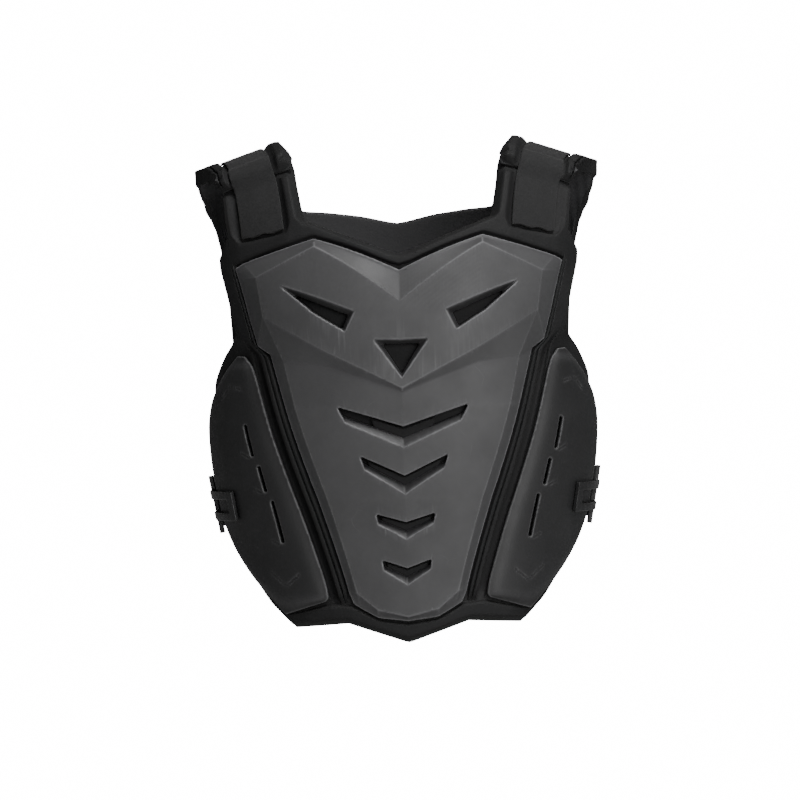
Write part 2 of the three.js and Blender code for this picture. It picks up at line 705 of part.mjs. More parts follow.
// The hem below the plates. It dips to a point at the centre.
const sideHem = SIDE_SECTIONS.map(sideRow).at(-1);
const rimBottomPoints = [...plateLines.at(-1), sideHem[0], sideHem.at(-1)];
const rimBottom = (u) => alongLine(rimBottomPoints, "u", "v", u);
const HEM_LINE = [
  { u: 0, v: PLATE_TOP - PLATE_LENGTH - HEM_BORDER },
  { u: 0.52 * HEM_HALF_WIDTH, v: PLATE_TOP - PLATE_LENGTH - 0.08 * HEM_BORDER },
  { u: HEM_HALF_WIDTH, v: SIDE_TOP - SIDE_LENGTH - 0.6 * HEM_BORDER },
];
const hemAt = (u) => alongLine(HEM_LINE, "u", "v", u);

function hemRows(above) {
  const edge = above[underColumns.length].u - RIM_GAP;
  const scale = (HEM_HALF_WIDTH - edge) / (above.at(-1).u - edge);
  const hem = above.map(({ u }) => {
    const narrowed = u > edge ? edge + (u - edge) * scale : u;
    return node(narrowed, hemAt(narrowed), FOAM_LIP, 0);
  });
  const rowAt = (share, heightOf, t) =>
    above.map((start, column) => {
      const u = lerp(start.u, hem[column].u, share);
      const lip = above.length - 1 - column;
      if (lip > 1) return node(u, heightOf(u, hem[column].v), t, 0);
      return node(u, lerp(start.v, hem[column].v, share), lip === 0 ? FOAM_LIP : FOAM, 0);
    });
  return [
    hem,
    rowAt(0.85, (u) => hemAt(u) + LIP_WIDTH, RIB_TOP),
    rowAt(0.56, (u) => rimBottom(u) - RIM_GAP - RIB_SLOPE, RIB_TOP),
    rowAt(0.5, (u) => rimBottom(u) - RIM_GAP, FOAM),
  ];
}

function frontPad() {
  const body = PAD_SECTIONS.map(padRow);
  const rows = [
    ...hemRows(body[0]),
    ...body,
    ...flankRows,
    brimRow((start) => start + RIM_GAP),
    brimRow((start) => start + RIM_GAP + RIB_SLOPE),
    brimTop,
    neckRow,
    ...TAB_ROWS.map(tabRow),
  ];
  return panelSolid(onFront, doubled(refined(rows, FOAM_STEP)));
}

// Back pad. Half its width at each height, as shares of its reach, up to the root of the wings
const BACK_SECTIONS = [
  { v: BACK_PAD_BOTTOM, reach: 0.56, edge: true },
  { v: BACK_PAD_BOTTOM + LIP_WIDTH, reach: 0.6 },
  { v: BACK_PAD_BOTTOM + 0.05 * WAIST_LENGTH, reach: 0.66 },
  { v: BACK_PAD_BOTTOM + 0.2 * WAIST_LENGTH, reach: 0.76 },
  { v: BACK_PAD_BOTTOM + 0.5 * WAIST_LENGTH, reach: 0.84 },
  { v: -WAIST_START, reach: 0.91 },
  { v: -0.4 * WAIST_START, reach: 0.96 },
  { v: 0, reach: 0.98 },
  { v: 0.5 * COLLAR_HEIGHT, reach: 0.99 },
];

// The wings from their root to their front edge, with their inner edge as a share of the tab's and their
// outer edge as a share of the back pad's reach. Past the crest, v runs on down the front.
const overCrest = (frontV) => 2 * CREST_LENGTH - frontV;
const RAMP_START = overCrest(TAB_TOP) - WING_END_RAMP;
const RAMP_END = overCrest(TAB_TOP) - LIP_WIDTH;
const WING_SECTIONS = [
  { v: WING_ROOT, inner: 1.07, outer: 1.006 },
  { v: 0.72 * CREST_LENGTH, inner: 1.04, outer: 0.994 },
  { v: 0.9 * CREST_LENGTH, inner: 1.014, outer: 0.94 },
  { v: CREST_LENGTH, inner: 1.014, outer: 0.904 },
  { v: 1.13 * CREST_LENGTH, inner: 1.014, outer: 0.867 },
  { v: RAMP_START, inner: 1.014, outer: 0.843 },
  { v: RAMP_END, inner: 1.014, outer: 0.831, raised: true },
  { v: overCrest(WING_FRONT) - LIP_WIDTH, inner: 1.014, outer: 0.825, raised: true },
  { v: overCrest(WING_FRONT), inner: 1.027, outer: 0.813, raised: true, edge: true },
];

const collarShares = [0, 0.38, 0.74];
const collarAt = (share) => COLLAR_HEIGHT + COLLAR_RISE * share;

function wingRow(section) {
  const { v, raised, edge } = section;
  const inner = TAB_INNER * section.inner;
  const outer = BACK_PAD_REACH * section.outer;
  const recess = STRAP_WIDTH / 2 / spreadAt(v) + STRAP_SIDE_GAP;
  const ribMiddle = (TAB_MIDDLE + recess + LIP_WIDTH / 2 + outer) / 2;
  const low = raised ? FOAM + SEAT_GAP + WING_WALL : FOAM;
  const b = raised ? FOAM + SEAT_GAP : 0;
  const high = low + WING_RIB_RISE;
  const lip = b + FOAM_LIP / 2;
  const columns = [
    [inner, lip],
    [inner + LIP_WIDTH, high],
    [Math.min(inner + WING_BORDER, TAB_MIDDLE - recess - RIB_SLOPE), high],
    [TAB_MIDDLE - recess, low],
    [TAB_MIDDLE, low],
    [TAB_MIDDLE + recess, low],
    [TAB_MIDDLE + recess + LIP_WIDTH / 2, high],
    [ribMiddle - FINE_GROOVE, high],
    [ribMiddle, high - FINE_GROOVE_DEPTH],
    [ribMiddle + FINE_GROOVE, high],
    [outer - LIP_WIDTH, high],
    [outer, lip],
  ];
  const wing = columns.map(([u, t]) => node(u, v, edge ? lip : t, b));
  return [...collarShares.map(() => null), ...wing];
}

function backRow({ v, reach, edge }) {
  const width = BACK_PAD_REACH * reach;
  const wing = wingRow(WING_SECTIONS[0]).slice(collarShares.length);
  const inner = wing[0].u * (width / wing.at(-1).u);
  const middle = collarShares.map((share) => node(inner * share, v, edge ? FOAM_LIP : FOAM, 0));
  const outer = wing.map(({ u }, column) => {
    const last = column === wing.length - 1;
    return node(u * (width / wing.at(-1).u), v, edge || last ? FOAM_LIP : FOAM, 0);
  });
  return [...middle, ...outer];
}

function collarRow(below, t) {
  const root = wingRow(WING_SECTIONS[0]);
  const inner = root[collarShares.length].u;
  return root.map((point, column) => {
    const share = collarShares[column] ?? 1;
    const v = collarAt(share) - below;
    const last = column === root.length - 1;
    const onWing = column > collarShares.length;
    return node(point ? point.u : inner * share, v, last ? FOAM_LIP : onWing ? FOAM : t, 0);
  });
}

function backPad() {
  const rows = [
    ...BACK_SECTIONS.map(backRow),
    collarRow(LIP_WIDTH, FOAM),
    collarRow(0, FOAM_LIP),
    ...WING_SECTIONS.map(wingRow),
  ];
  return panelSolid(onBack, doubled(refined(rows, FOAM_STEP)));
}

// Back plate, as shares of its length below its top and of its half width
const BACK_PLATE_SECTIONS = [
  { down: 0, reach: 0.72 },
  { down: 0.04, reach: 0.86 },
  { down: 0.3, reach: 1 },
  { down: 0.65, reach: 0.86 },
  { down: 0.96, reach: 0.6 },
  { down: 1, reach: 0.52 },
];

function backPlateRow({ down, reach }) {
  const v = BACK_PLATE_TOP - BACK_PLATE_LENGTH * down;
  const width = BACK_PLATE_HALF_WIDTH * reach;
  const onRim = down === 0 || down === 1;
  const points = [
    [0, 1],
    [width * 0.5, 0.8],
    [width - BACK_PLATE_BEVEL, 0.6],
    [width, 0],
  ];
  return points.map(([u, lift]) => {
    const t = RIM + (onRim ? 0 : BACK_PLATE_LIFT * lift);
    return node(u, v, t, t - PLATE_WALL);
  });
}

const backPlate = () =>
  panelSolid(onBack, doubled(refined(BACK_PLATE_SECTIONS.map(backPlateRow), FOAM_STEP)));

// Shoulder strap, from its tail on the front tab over the wing to its end on the back pad
const STRAP_ROUTE = [
  { v: overCrest(PLATE_TOP + STRAP_TAIL), b: FOAM + STRAP_GAP },
  { v: overCrest(WING_FRONT - 2 * LIP_WIDTH), b: FOAM + STRAP_GAP },
  { v: overCrest(WING_FRONT), b: FOAM + SEAT_GAP + FOAM_LIP / 2 + 2 * STRAP_GAP },
  { v: overCrest(WING_FRONT) - LIP_WIDTH, b: FOAM + SEAT_GAP + WING_WALL + STRAP_GAP },
  { v: RAMP_END, b: FOAM + SEAT_GAP + WING_WALL + STRAP_GAP },
  { v: RAMP_START, b: FOAM + STRAP_GAP },
  { v: BACK_PLATE_TOP + STRAP_BACK_GAP, b: FOAM + STRAP_GAP },
];

function shoulderStrap(turn) {
  const route = STRAP_ROUTE.map(({ v, b }) => [node(TAB_MIDDLE, v, b + STRAP_WALL, b)]);
  const rows = withRows(route, STRAP_STEP).map(([{ v, t, b }]) => {
    const half = STRAP_WIDTH / 2 / spreadAt(v);
    return [-1, 0, 1].map((side) => node(TAB_MIDDLE + side * half, v, t, b));
  });
  return panelSolid(onBack, turn(rows));
}

// Buckle: a hook on the side plate, two arms and a bar that stands out for the strap
const BAR_START = HOOK_U + HOOK_REACH - BAR_WIDTH;
const BAR_RISE = RIM + BAR_LIFT;

const HOOK_RISE = RIM + SIDE_LIFT + HOOK_LIFT;

function buckleBlock(fromU, toU, middleV, height, wall, rise = HOOK_RISE) {
  const line = (v) => [fromU, toU].map((u) => node(u, v, rise + wall, rise));
  const rows = [line(middleV + height / 2), line(middleV - height / 2)];
  return panelSolid(onFront, refined(rows, BUCKLE_STEP));
}

function sideBuckle(turn) {
  const armOffset = (HOOK_HEIGHT - ARM_HEIGHT) / 2;
  const armStart = HOOK_U + HOOK_WIDTH / 2;
  const armEnd = BAR_START + BAR_WIDTH / 2;
  const blocks = [
    buckleBlock(HOOK_U, HOOK_U + HOOK_WIDTH, HOOK_V, HOOK_HEIGHT, HOOK_WALL),
    buckleBlock(armStart, armEnd, HOOK_V + armOffset, ARM_HEIGHT, HOOK_WALL),
    buckleBlock(armStart, armEnd, HOOK_V - armOffset, ARM_HEIGHT, HOOK_WALL),
    buckleBlock(BAR_START, BAR_START + BAR_WIDTH, HOOK_V, BAR_HEIGHT, HOOK_WALL + RIB_SLOPE, BAR_RISE),
  ];
  const solid = blocks.reduce((whole, block) => whole.add(block));
  return turn === flipped ? solid.mirror([1, 0, 0]) : solid;
}

// Side strap, from the buckle's bar round to its end on the back pad
function sideStrap(turn) {
  const padReach = alongLine(BACK_SECTIONS, "v", "reach", HOOK_V);
  const route = [
    { u: HOOK_U + HOOK_REACH + STRAP_GAP, b: BAR_RISE + RIB_SLOPE },
    { u: 2 * QUARTER - BACK_PAD_REACH * padReach, b: FOAM + STRAP_GAP },
    { u: 2 * QUARTER - ELASTIC_END, b: FOAM + STRAP_GAP },
  ];
  const rows = [ELASTIC_WIDTH / 2, -ELASTIC_WIDTH / 2].map((offset) =>
    route.map(({ u, b }) => node(u, HOOK_V + offset, b + STRAP_WALL, b)),
  );
  return panelSolid(onGirdle, turn(refined(rows, STRAP_STEP)));
}

const asIs = (rows) => rows;
const protector = new THREE.Group();
protector.name = "motocross_chest_protector";
protector.add(
  meshOf("front_pad", frontPad(), materials.foam),
  meshOf("chest_plate", chestPlate(), materials.plate),
  meshOf("back_pad", backPad(), materials.foam),
  meshOf("back_plate", backPlate(), materials.plate),
);
for (const [side, turn] of [["left", flipped], ["right", asIs]]) {
  protector.add(
    meshOf(`side_plate_${side}`, sidePlate(turn), materials.sidePlate),
    meshOf(`shoulder_strap_${side}`, shoulderStrap(turn), materials.strap),
    meshOf(`side_buckle_${side}`, sideBuckle(turn), materials.buckle),
    meshOf(`side_strap_${side}`, sideStrap(turn), materials.elastic),
  );
}

export default protector;
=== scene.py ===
import bisect
import math

import bpy
from mathutils import Matrix, Vector
from mathutils.bvhtree import BVHTree


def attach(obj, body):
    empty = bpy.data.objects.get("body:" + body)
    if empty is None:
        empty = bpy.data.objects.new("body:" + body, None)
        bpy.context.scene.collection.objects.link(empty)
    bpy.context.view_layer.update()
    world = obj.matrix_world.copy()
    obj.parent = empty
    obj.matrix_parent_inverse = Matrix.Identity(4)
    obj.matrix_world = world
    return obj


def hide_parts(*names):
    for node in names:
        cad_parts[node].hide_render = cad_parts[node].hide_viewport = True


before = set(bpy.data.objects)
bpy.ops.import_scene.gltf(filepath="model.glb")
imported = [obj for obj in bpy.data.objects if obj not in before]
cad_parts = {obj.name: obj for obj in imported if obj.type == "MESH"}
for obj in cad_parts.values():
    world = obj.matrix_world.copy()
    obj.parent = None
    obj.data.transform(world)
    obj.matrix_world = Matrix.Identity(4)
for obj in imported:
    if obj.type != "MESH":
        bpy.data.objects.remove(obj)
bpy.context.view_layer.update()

# Sizes in millimetres, turned to metres where they are placed
MM = 0.001

# Torso form
CHEST_HALF_WIDTH = 151
CHEST_DEPTH = 105
BACK_DEPTH = 98
CHEST_SQUARENESS = 2.3
ARMPIT_Z = -130
CREST_RISE = 140
CREST_LENGTH = 175
CREST_X = 93
CREST_FLAT = 60
SHOULDER_FALL = 0.372
SHOULDER_SPREAD = 0.26
WAIST_START = 85
WAIST_LENGTH = 165
WAIST_TAPER = 0.14
BELLY_TAPER = 0.07
SECTION_STEPS = 720
NORMAL_STEP = 0.5

# Pads and plates
FOAM = 8.5
SEAT_GAP = 0.8
PLATE_WALL = 3.2
RIM = FOAM + SEAT_GAP + PLATE_WALL
PLATE_HALF_WIDTH = 135
PLATE_TOP = 45
PLATE_LENGTH = 296
PLATE_LIFT = 9
PLATE_SPACING = 18
VENT_DEPTH = 5
CHEVRON_LEDGE = 0.5
VENT_COLLAR = 2.5
SIDE_TOP = -30
SIDE_LENGTH = 215
SIDE_REACH = 196
SIDE_LIFT = 3.5
SIDE_BEVEL = 8
SLOT_WIDTH = 3
SLOT_INSET = 20
BACK_PLATE_HALF_WIDTH = 95
BACK_PLATE_TOP = 30
BACK_PLATE_LENGTH = 230
BACK_PLATE_LIFT = 6
BACK_PLATE_BEVEL = 9
BACK_PLATE_MIDDLE = {"share": 0.5, "lift": 0.8}
BACK_PLATE_SHOULDER = 0.6

GRID_STEP = 14
VENT_STEP = 8
PLATE_STEP = 3
PLATE_VOXEL = 0.75
PLATE_FACES = 95000
SIDE_VOXEL = 0.8
BACK_VOXEL = 1.2
BACK_FACES = 50000
SIDE_FACES = 45000
EDGE_LIP = 2
EDGE_LIP_RISE = 0.2
LIP_SHARE_MOST = 0.5
CUT_MARGIN = 1
PROBE_HEIGHT = 4 * RIM
CUT_HEIGHT = 2 * RIM
SMOOTH_FACTOR = 0.5
BACK_SMOOTHING = 3
PLATE_SMOOTHING = 2

# Plates: how strongly a bend shows as a worn edge with a painted highlight, and the depth at which the mask
# for painted shade is full
EDGE_GAIN = 11
DEPTH_SPAN = 3
SHORTEST_SUM = 1e-9

# How a foam node of the CAD becomes one mesh of quads, and how its edges are kept
MERGE_GAP = 0.02
QUAD_ANGLE = 60
PAD_SHARP_ANGLE = 22
PAD_CREASE = 0.45

FRONT = -1
BACK = 1


# Torso form: u is the distance round it, v the height above the armpits and t the distance out from it
def section_table():
    distances, shares = [], []
    distance = 0
    last = Vector((0, CHEST_DEPTH))
    for step in range(SECTION_STEPS + 1):
        angle = math.pi * step / SECTION_STEPS
        across, ahead = math.sin(angle), math.cos(angle)
        wide = abs(across / CHEST_HALF_WIDTH) ** CHEST_SQUARENESS
        deep = abs(ahead / CHEST_DEPTH) ** CHEST_SQUARENESS
        radius = (wide + deep) ** (-1 / CHEST_SQUARENESS)
        point = Vector((across * radius, ahead * radius))
        distance += (point - last).length
        distances.append(distance)
        shares.append((point.x / CHEST_HALF_WIDTH, point.y / CHEST_DEPTH))
        last = point
    return distances, shares


SECTION_DISTANCES, SECTION_SHARES = section_table()


def section_at(u):
    upper = min(max(bisect.bisect_right(SECTION_DISTANCES, abs(u)), 1), SECTION_STEPS)
    low, high = SECTION_DISTANCES[upper - 1], SECTION_DISTANCES[upper]
    share = (abs(u) - low) / (high - low)
    across_low, ahead_low = SECTION_SHARES[upper - 1]
    across_high, ahead_high = SECTION_SHARES[upper]
    across = across_low + (across_high - across_low) * share
    return math.copysign(across, u), ahead_low + (ahead_high - ahead_low) * share


def smoothstep(value, low, high):
    share = min(max((value - low) / (high - low), 0), 1)
    return share * share * (3 - 2 * share)


# How far the crest of the shoulders lies below its height at CREST_X
def crest_fall(x):
    return SHOULDER_FALL * (math.hypot(x, CREST_FLAT) - math.hypot(CREST_X, CREST_FLAT))


def spread_at(v):
    return 1 + SHOULDER_SPREAD * (1 - abs(math.cos(max(v, 0) / CREST_LENGTH * math.pi / 2)))


def torso_point(face, u, v):
    across, ahead = section_at(u)
    depth = CHEST_DEPTH if face == FRONT else BACK_DEPTH
    waist = smoothstep(-v, WAIST_START, WAIST_START + WAIST_LENGTH)
    turn = max(v, 0) / CREST_LENGTH * math.pi / 2
    x = CHEST_HALF_WIDTH * (1 - WAIST_TAPER * waist) * spread_at(v) * across
    if v <= 0:
        return Vector((x, face * depth * (1 - BELLY_TAPER * waist) * ahead, ARMPIT_Z + v))
    beyond = BACK_DEPTH if face == FRONT else CHEST_DEPTH
    reach = depth if turn < math.pi / 2 else beyond
    height = (CREST_RISE - crest_fall(x)) * math.sin(turn)
    return Vector((x, face * reach * ahead * math.cos(turn), ARMPIT_Z + height))


def torso_normal(face, u, v):
    along_u = torso_point(face, u + NORMAL_STEP, v) - torso_point(face, u - NORMAL_STEP, v)
    along_v = torso_point(face, u, v + NORMAL_STEP) - torso_point(face, u, v - NORMAL_STEP)
    return along_u.cross(along_v).normalized() * -face


def on_front(u, v, t):
    return (torso_point(FRONT, u, v) + torso_normal(FRONT, u, v) * t) * MM


def on_back(u, v, t):
    return (torso_point(BACK, u, v) + torso_normal(BACK, u, v) * t) * MM


QUARTER = SECTION_DISTANCES[SECTION_STEPS // 2]


# Round the whole torso, with u running on past the side to the back
def on_girdle(u, v, t):
    if abs(u) > QUARTER:
        return on_back(math.copysign(2 * QUARTER - abs(u), u), v, t)
    return on_front(u, v, t)


# Helpers
def select_only(piece):
    bpy.ops.object.select_all(action="DESELECT")
    piece.select_set(True)
    bpy.context.view_layer.objects.active = piece


def edit_whole(piece, operator, **settings):
    select_only(piece)
    bpy.ops.object.mode_set(mode="EDIT")
    bpy.ops.mesh.select_all(action="SELECT")
    operator(**settings)
    bpy.ops.object.mode_set(mode="OBJECT")


def smooth_shading(piece):
    select_only(piece)
    bpy.ops.object.shade_smooth()


def apply_modifier(piece, kind, **settings):
    select_only(piece)
    modifier = piece.modifiers.new(kind.lower(), kind)
    for name, value in settings.items():
        setattr(modifier, name, value)
    bpy.ops.object.modifier_apply(modifier=modifier.name)


def finish_piece(piece, material, replaced):
    piece.data.materials.clear()
    piece.data.materials.append(material)
    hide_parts(*replaced)
    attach(piece, "root")


def lerp(first, second, share):
    return tuple(a + (b - a) * share for a, b in zip(first, second))


# Rows of (u, v, t) with more rows and columns put between them
def refine(rows, step):
    def spread_out(lines):
        placed = []
        for line, following in zip(lines, lines[1:]):
            span = max(math.dist(a[:2], b[:2]) for a, b in zip(line, following))
            count = max(1, math.ceil(span / step))
            for part in range(count):
                placed.append([lerp(a, b, part / count) for a, b in zip(line, following)])
        placed.append(lines[-1])
        return placed

    columns = spread_out([list(column) for column in zip(*spread_out(rows))])
    return [list(row) for row in zip(*columns)]


# An open sheet of quads whose corners are laid on the torso form
def lay_grid(name, rows, place):
    bpy.ops.object.select_all(action="DESELECT")
    bpy.ops.mesh.primitive_grid_add(x_subdivisions=len(rows[0]) - 1, y_subdivisions=len(rows) - 1)
    piece = bpy.context.object
    piece.name = name
    corners = [point for row in rows for point in row]
    for vertex, point in zip(piece.data.vertices, corners, strict=True):
        vertex.co = place(*point)
    return piece


# Full creases round the border of a grid, so that it keeps its outline when it is subdivided
def crease_border(piece, height, width):
    creases = piece.data.attributes.new("crease_edge", "FLOAT", "EDGE")
    for edge in piece.data.edges:
        (row_a, column_a), (row_b, column_b) = (divmod(number, width) for number in edge.vertices)
        on_end_row = row_a == row_b and row_a in (0, height - 1)
        on_end_column = column_a == column_b and column_a in (0, width - 1)
        creases.data[edge.index].value = 1.0 if on_end_row or on_end_column else 0.0


# Chest plate. A row for each line that crosses it, from the top edge down, and each station is its share of
# the half width, its share of the length below the peak, and its share of the lift above the rim.
PLATE_LINES = [
    {
        "centre": (0, 0.077, 0), "middle": (0.481, 0.001, 0),
        "side": (0.93, 0.029, 0), "edge": (0.99, 0.037, 0),
    },
    {
        "centre": (0, 0.135, 0.74), "middle": (0.47, 0.022, 0.62),
        "side": (0.819, 0.07, 0.66), "edge": (0.973, 0.063, 0),
    },
    {
        "centre": (0, 0.233, 0.86), "middle": (0.45, 0.12, 0.76),
        "side": (0.803, 0.11, 0.68), "edge": (0.928, 0.125, 0),
    },
    {
        "centre": (0, 0.363, 1), "middle": (0.43, 0.256, 0.88),
        "side": (0.784, 0.156, 0.7), "edge": (0.85, 0.238, 0),
    },
    {
        "centre": (0, 0.372, 0.76), "middle": (0.43, 0.297, 0.52),
        "side": (0.672, 0.283, 0.4), "edge": (0.77, 0.262, 0),
    },
    {
        "centre": (0, 0.42, 0.7), "middle": (0.37, 0.415, 0.56),
        "side": (0.61, 0.413, 0.5), "edge": (0.683, 0.413, 0),
    },
    {
        "centre": (0, 0.659, 0.62), "middle": (0.28, 0.659, 0.52),
        "side": (0.46, 0.659, 0.46), "edge": (0.529, 0.659, 0),
    },
    {
        "centre": (0, 0.986, 0.38), "middle": (0.2, 0.965, 0.4),
        "side": (0.33, 0.916, 0.42), "edge": (0.388, 0.918, 0),
    },
    {
        "centre": (0, 1, 0), "middle": (0.2, 0.989, 0),
        "side": (0.305, 0.964, 0), "edge": (0.362, 0.948, 0),
    },
]
STATIONS = ("centre", "middle", "side", "edge")


def plate_node(station):
    across, down, lift = station
    return PLATE_HALF_WIDTH * across, PLATE_TOP - PLATE_LENGTH * down, RIM + PLATE_LIFT * lift


plate_lines = [[plate_node(line[name]) for name in STATIONS] for line in PLATE_LINES]


def mirrored_row(row):
    return [(-u, v, t) for u, v, t in reversed(row[1:])] + list(row)


def plate_edge(v):
    points = sorted((line[3][1], line[3][0]) for line in plate_lines)
    for (low_v, low_u), (high_v, high_u) in zip(points, points[1:]):
        if v <= high_v:
            return low_u + (high_u - low_u) * min(max((v - low_v) / (high_v - low_v), 0), 1)
    return points[-1][1]


def moulded_sheet(name, half, step, place):
    rows = refine(half, step)
    return lay_grid(name, [mirrored_row(row) for row in reversed(rows)], place)


# A narrow flat lip inside the last line of a plate, before its bevel starts
def lip_line(edge, inside):
    line = []
    for outer, inner in zip(edge, inside):
        share = min(EDGE_LIP / max(math.dist(outer[:2], inner[:2]), EDGE_LIP), LIP_SHARE_MOST)
        line.append((*lerp(outer, inner, share)[:2], RIM + EDGE_LIP_RISE))
    return line


def with_end_lips(rows):
    return [rows[0], lip_line(rows[0], rows[1]), *rows[1:-1], lip_line(rows[-1], rows[-2]), rows[-1]]


def with_lips(lines):
    columns = [list(column) for column in zip(*lines)]
    columns.insert(-1, lip_line(columns[-1], columns[-2]))
    return with_end_lips([list(row) for row in zip(*columns)])


# Vents, as shares like those of the plate
CHEVRONS = [
    {"tip": (0.373, 0.41), "corner": (0.32, 0.458), "top": 0.467, "bottom": 0.527},
    {"tip": (0.253, 0.543), "corner": (0.227, 0.583), "top": 0.598, "bottom": 0.652},
    {"tip": (0.181, 0.7), "corner": (0.166, 0.731), "top": 0.724, "bottom": 0.774},
    {"tip": (0.156, 0.827), "corner": (0.148, 0.858), "top": 0.851, "bottom": 0.901},
]
EYE = {
    "rim": ([(0.249, 0.15), (0.685, 0.0895)], [(0.307, 0.208), (0.683, 0.0925)]),
    "hole": ([(0.298, 0.159), (0.6, 0.115)], [(0.332, 0.198), (0.602, 0.119)]),
}


def overturned(points):
    return [(-across, down) for across, down in reversed(points)]


def mirrored_line(points):
    return overturned(points[1:]) + list(points)


def even_strip(upper, lower):
    return mirrored_line(upper), mirrored_line(lower)


TRIANGLE = {
    "rim": even_strip([(0, 0.229), (0.164, 0.226)], [(0, 0.337), (0.162, 0.231)]),
    "hole": even_strip([(0, 0.243), (0.104, 0.242)], [(0, 0.325), (0.1, 0.249)]),
}


def chevron_vent(chevron):
    tip, corner, top, bottom = (chevron[name] for name in ("tip", "corner", "top", "bottom"))
    ledge_corner = lerp(corner, tip, CHEVRON_LEDGE)
    upper = [(0, top), tip]
    lower = [(0, bottom + (top - bottom) * CHEVRON_LEDGE), ledge_corner]
    return {"rim": even_strip(upper, [(0, bottom), corner]), "hole": even_strip(upper, lower)}


# A closed solid through rings. Each ring is an upper and a lower line of (u, v, t) points on the front.
def ring_solid(name, rings):
    rings = [list(upper) + list(reversed(lower)) for upper, lower in rings]
    count = len(rings[0])
    vertices = [on_front(*point) for ring in rings for point in ring]
    faces = []
    for index in range(count // 2 - 1):
        quad = [index, index + 1, count - 2 - index, count - 1 - index]
        faces.append(quad)
        faces.append([number + count * (len(rings) - 1) for number in reversed(quad)])
    for layer in range(len(rings) - 1):
        for index in range(count):
            after = (index + 1) % count
            low, high = layer * count, (layer + 1) * count
            faces.append([low + after, low + index, high + index, high + after])
    mesh = bpy.data.meshes.new(name)
    mesh.from_pydata(vertices, [], faces)
    solid = bpy.data.objects.new(name, mesh)
    bpy.context.scene.collection.objects.link(solid)
    edit_whole(solid, bpy.ops.mesh.normals_make_consistent, inside=False)
    return solid


def stepped_line(points, step):
    line = []
    for first, second in zip(points, points[1:]):
        count = max(1, math.ceil(math.dist(first, second) / step))
        line += [lerp(first, second, part / count) for part in range(count)]
    return line + [points[-1]]


# A ring of a vent: its strip, widened on every side, at a distance from the torso that depends on the face
def vent_ring(strip, parts, widen, distance, height_at):
    ring = []
    for points, aside in zip(strip, (widen, -widen)):
        line = [
            (PLATE_HALF_WIDTH * across, PLATE_TOP - PLATE_LENGTH * down + aside)
            for across, down in points
        ]
        line[0] = (line[0][0] - widen, line[0][1])
        line[-1] = (line[-1][0] + widen, line[-1][1])
        stops = [
            lerp(first, second, part / count)
            for first, second, count in zip(line, line[1:], parts)
            for part in range(count)
        ]
        ring.append([(u, v, distance(height_at(u, v))) for u, v in stops + line[-1:]])
    return ring


def vent_solids(name, vent, height_at):
    rim, hole = vent["rim"], vent["hole"]
    width = PLATE_HALF_WIDTH / VENT_STEP
    parts = [max(1, math.ceil(abs(b[0] - a[0]) * width)) for a, b in zip(rim[0], rim[0][1:])]
    cutter = [
        vent_ring(rim, parts, 0, lambda face: face + CUT_MARGIN, height_at),
        vent_ring(hole, parts, 0, lambda face: face - VENT_DEPTH, height_at),
        vent_ring(hole, parts, 0, lambda face: FOAM, height_at),
    ]
    collar = [
        vent_ring(rim, parts, VENT_COLLAR, lambda face: face - CUT_MARGIN, height_at),
        vent_ring(rim, parts, VENT_COLLAR, lambda face: FOAM + 2 * SEAT_GAP, height_at),
    ]
    return ring_solid(f"{name}_collar", collar), ring_solid(f"{name}_cutter", cutter)


def combine(piece, others, operation):
    for other in others:
        apply_modifier(piece, "BOOLEAN", operation=operation, object=other, solver="EXACT")
        bpy.data.objects.remove(other)


def tree_of(piece):
    corners = [vertex.co.copy() for vertex in piece.data.vertices]
    return BVHTree.FromPolygons(corners, [list(polygon.vertices) for polygon in piece.data.polygons])


def height_of(piece):
    tree = tree_of(piece)

    def height_at(u, v):
        origin = on_front(u, v, PROBE_HEIGHT)
        place = tree.ray_cast(origin, on_front(u, v, 0) - origin)[0]
        return (place - on_front(u, v, 0)).length / MM if place else RIM

    return height_at


# Rounds the edges as a mould does, and thins the faces out afterwards
def soften_edges(piece, voxel, faces, times):
    apply_modifier(piece, "REMESH", mode="VOXEL", voxel_size=voxel * MM, adaptivity=0)
    apply_modifier(piece, "SMOOTH", factor=SMOOTH_FACTOR, iterations=times)
    share = faces / len(piece.data.polygons)
    if share < 1:
        apply_modifier(piece, "DECIMATE", ratio=share)
    smooth_shading(piece)


# Two masks on a finished piece: how deep a point lies under the skin, for painted shade, and how sharp an
# outer edge is there, for wear with a painted highlight
def paint_wear_highlight_and_shade(piece, skin):
    mesh = piece.data
    sums = [Vector() for _ in mesh.vertices]
    lengths = [0] * len(mesh.vertices)
    for edge in mesh.edges:
        first, second = edge.vertices
        span = mesh.vertices[second].co - mesh.vertices[first].co
        for number, way in ((first, span), (second, -span)):
            sums[number] += way
            lengths[number] += span.length
    mesh.attributes.new("edge_wear_and_highlight", "FLOAT", "POINT")
    mesh.attributes.new("depth", "FLOAT", "POINT")
    edge_mask = mesh.attributes["edge_wear_and_highlight"].data
    depth_mask = mesh.attributes["depth"].data
    tree = tree_of(skin)
    for number, vertex in enumerate(mesh.vertices):
        bend = -sums[number].dot(vertex.normal) / max(lengths[number], SHORTEST_SUM)
        edge_mask[number].value = min(max(bend * EDGE_GAIN, 0), 1)
        place, normal, _, _ = tree.find_nearest(vertex.co)
        depth_mask[number].value = min(max((place - vertex.co).dot(normal) / (DEPTH_SPAN * MM), 0), 1)


# A copy of a skin with the wall of a plate under it
def thick_copy(skin, name):
    piece = skin.copy()
    piece.data = skin.data.copy()
    piece.name = name
    bpy.context.scene.collection.objects.link(piece)
    apply_modifier(piece, "SOLIDIFY", thickness=PLATE_WALL * MM, offset=-1, use_even_offset=True)
    return piece


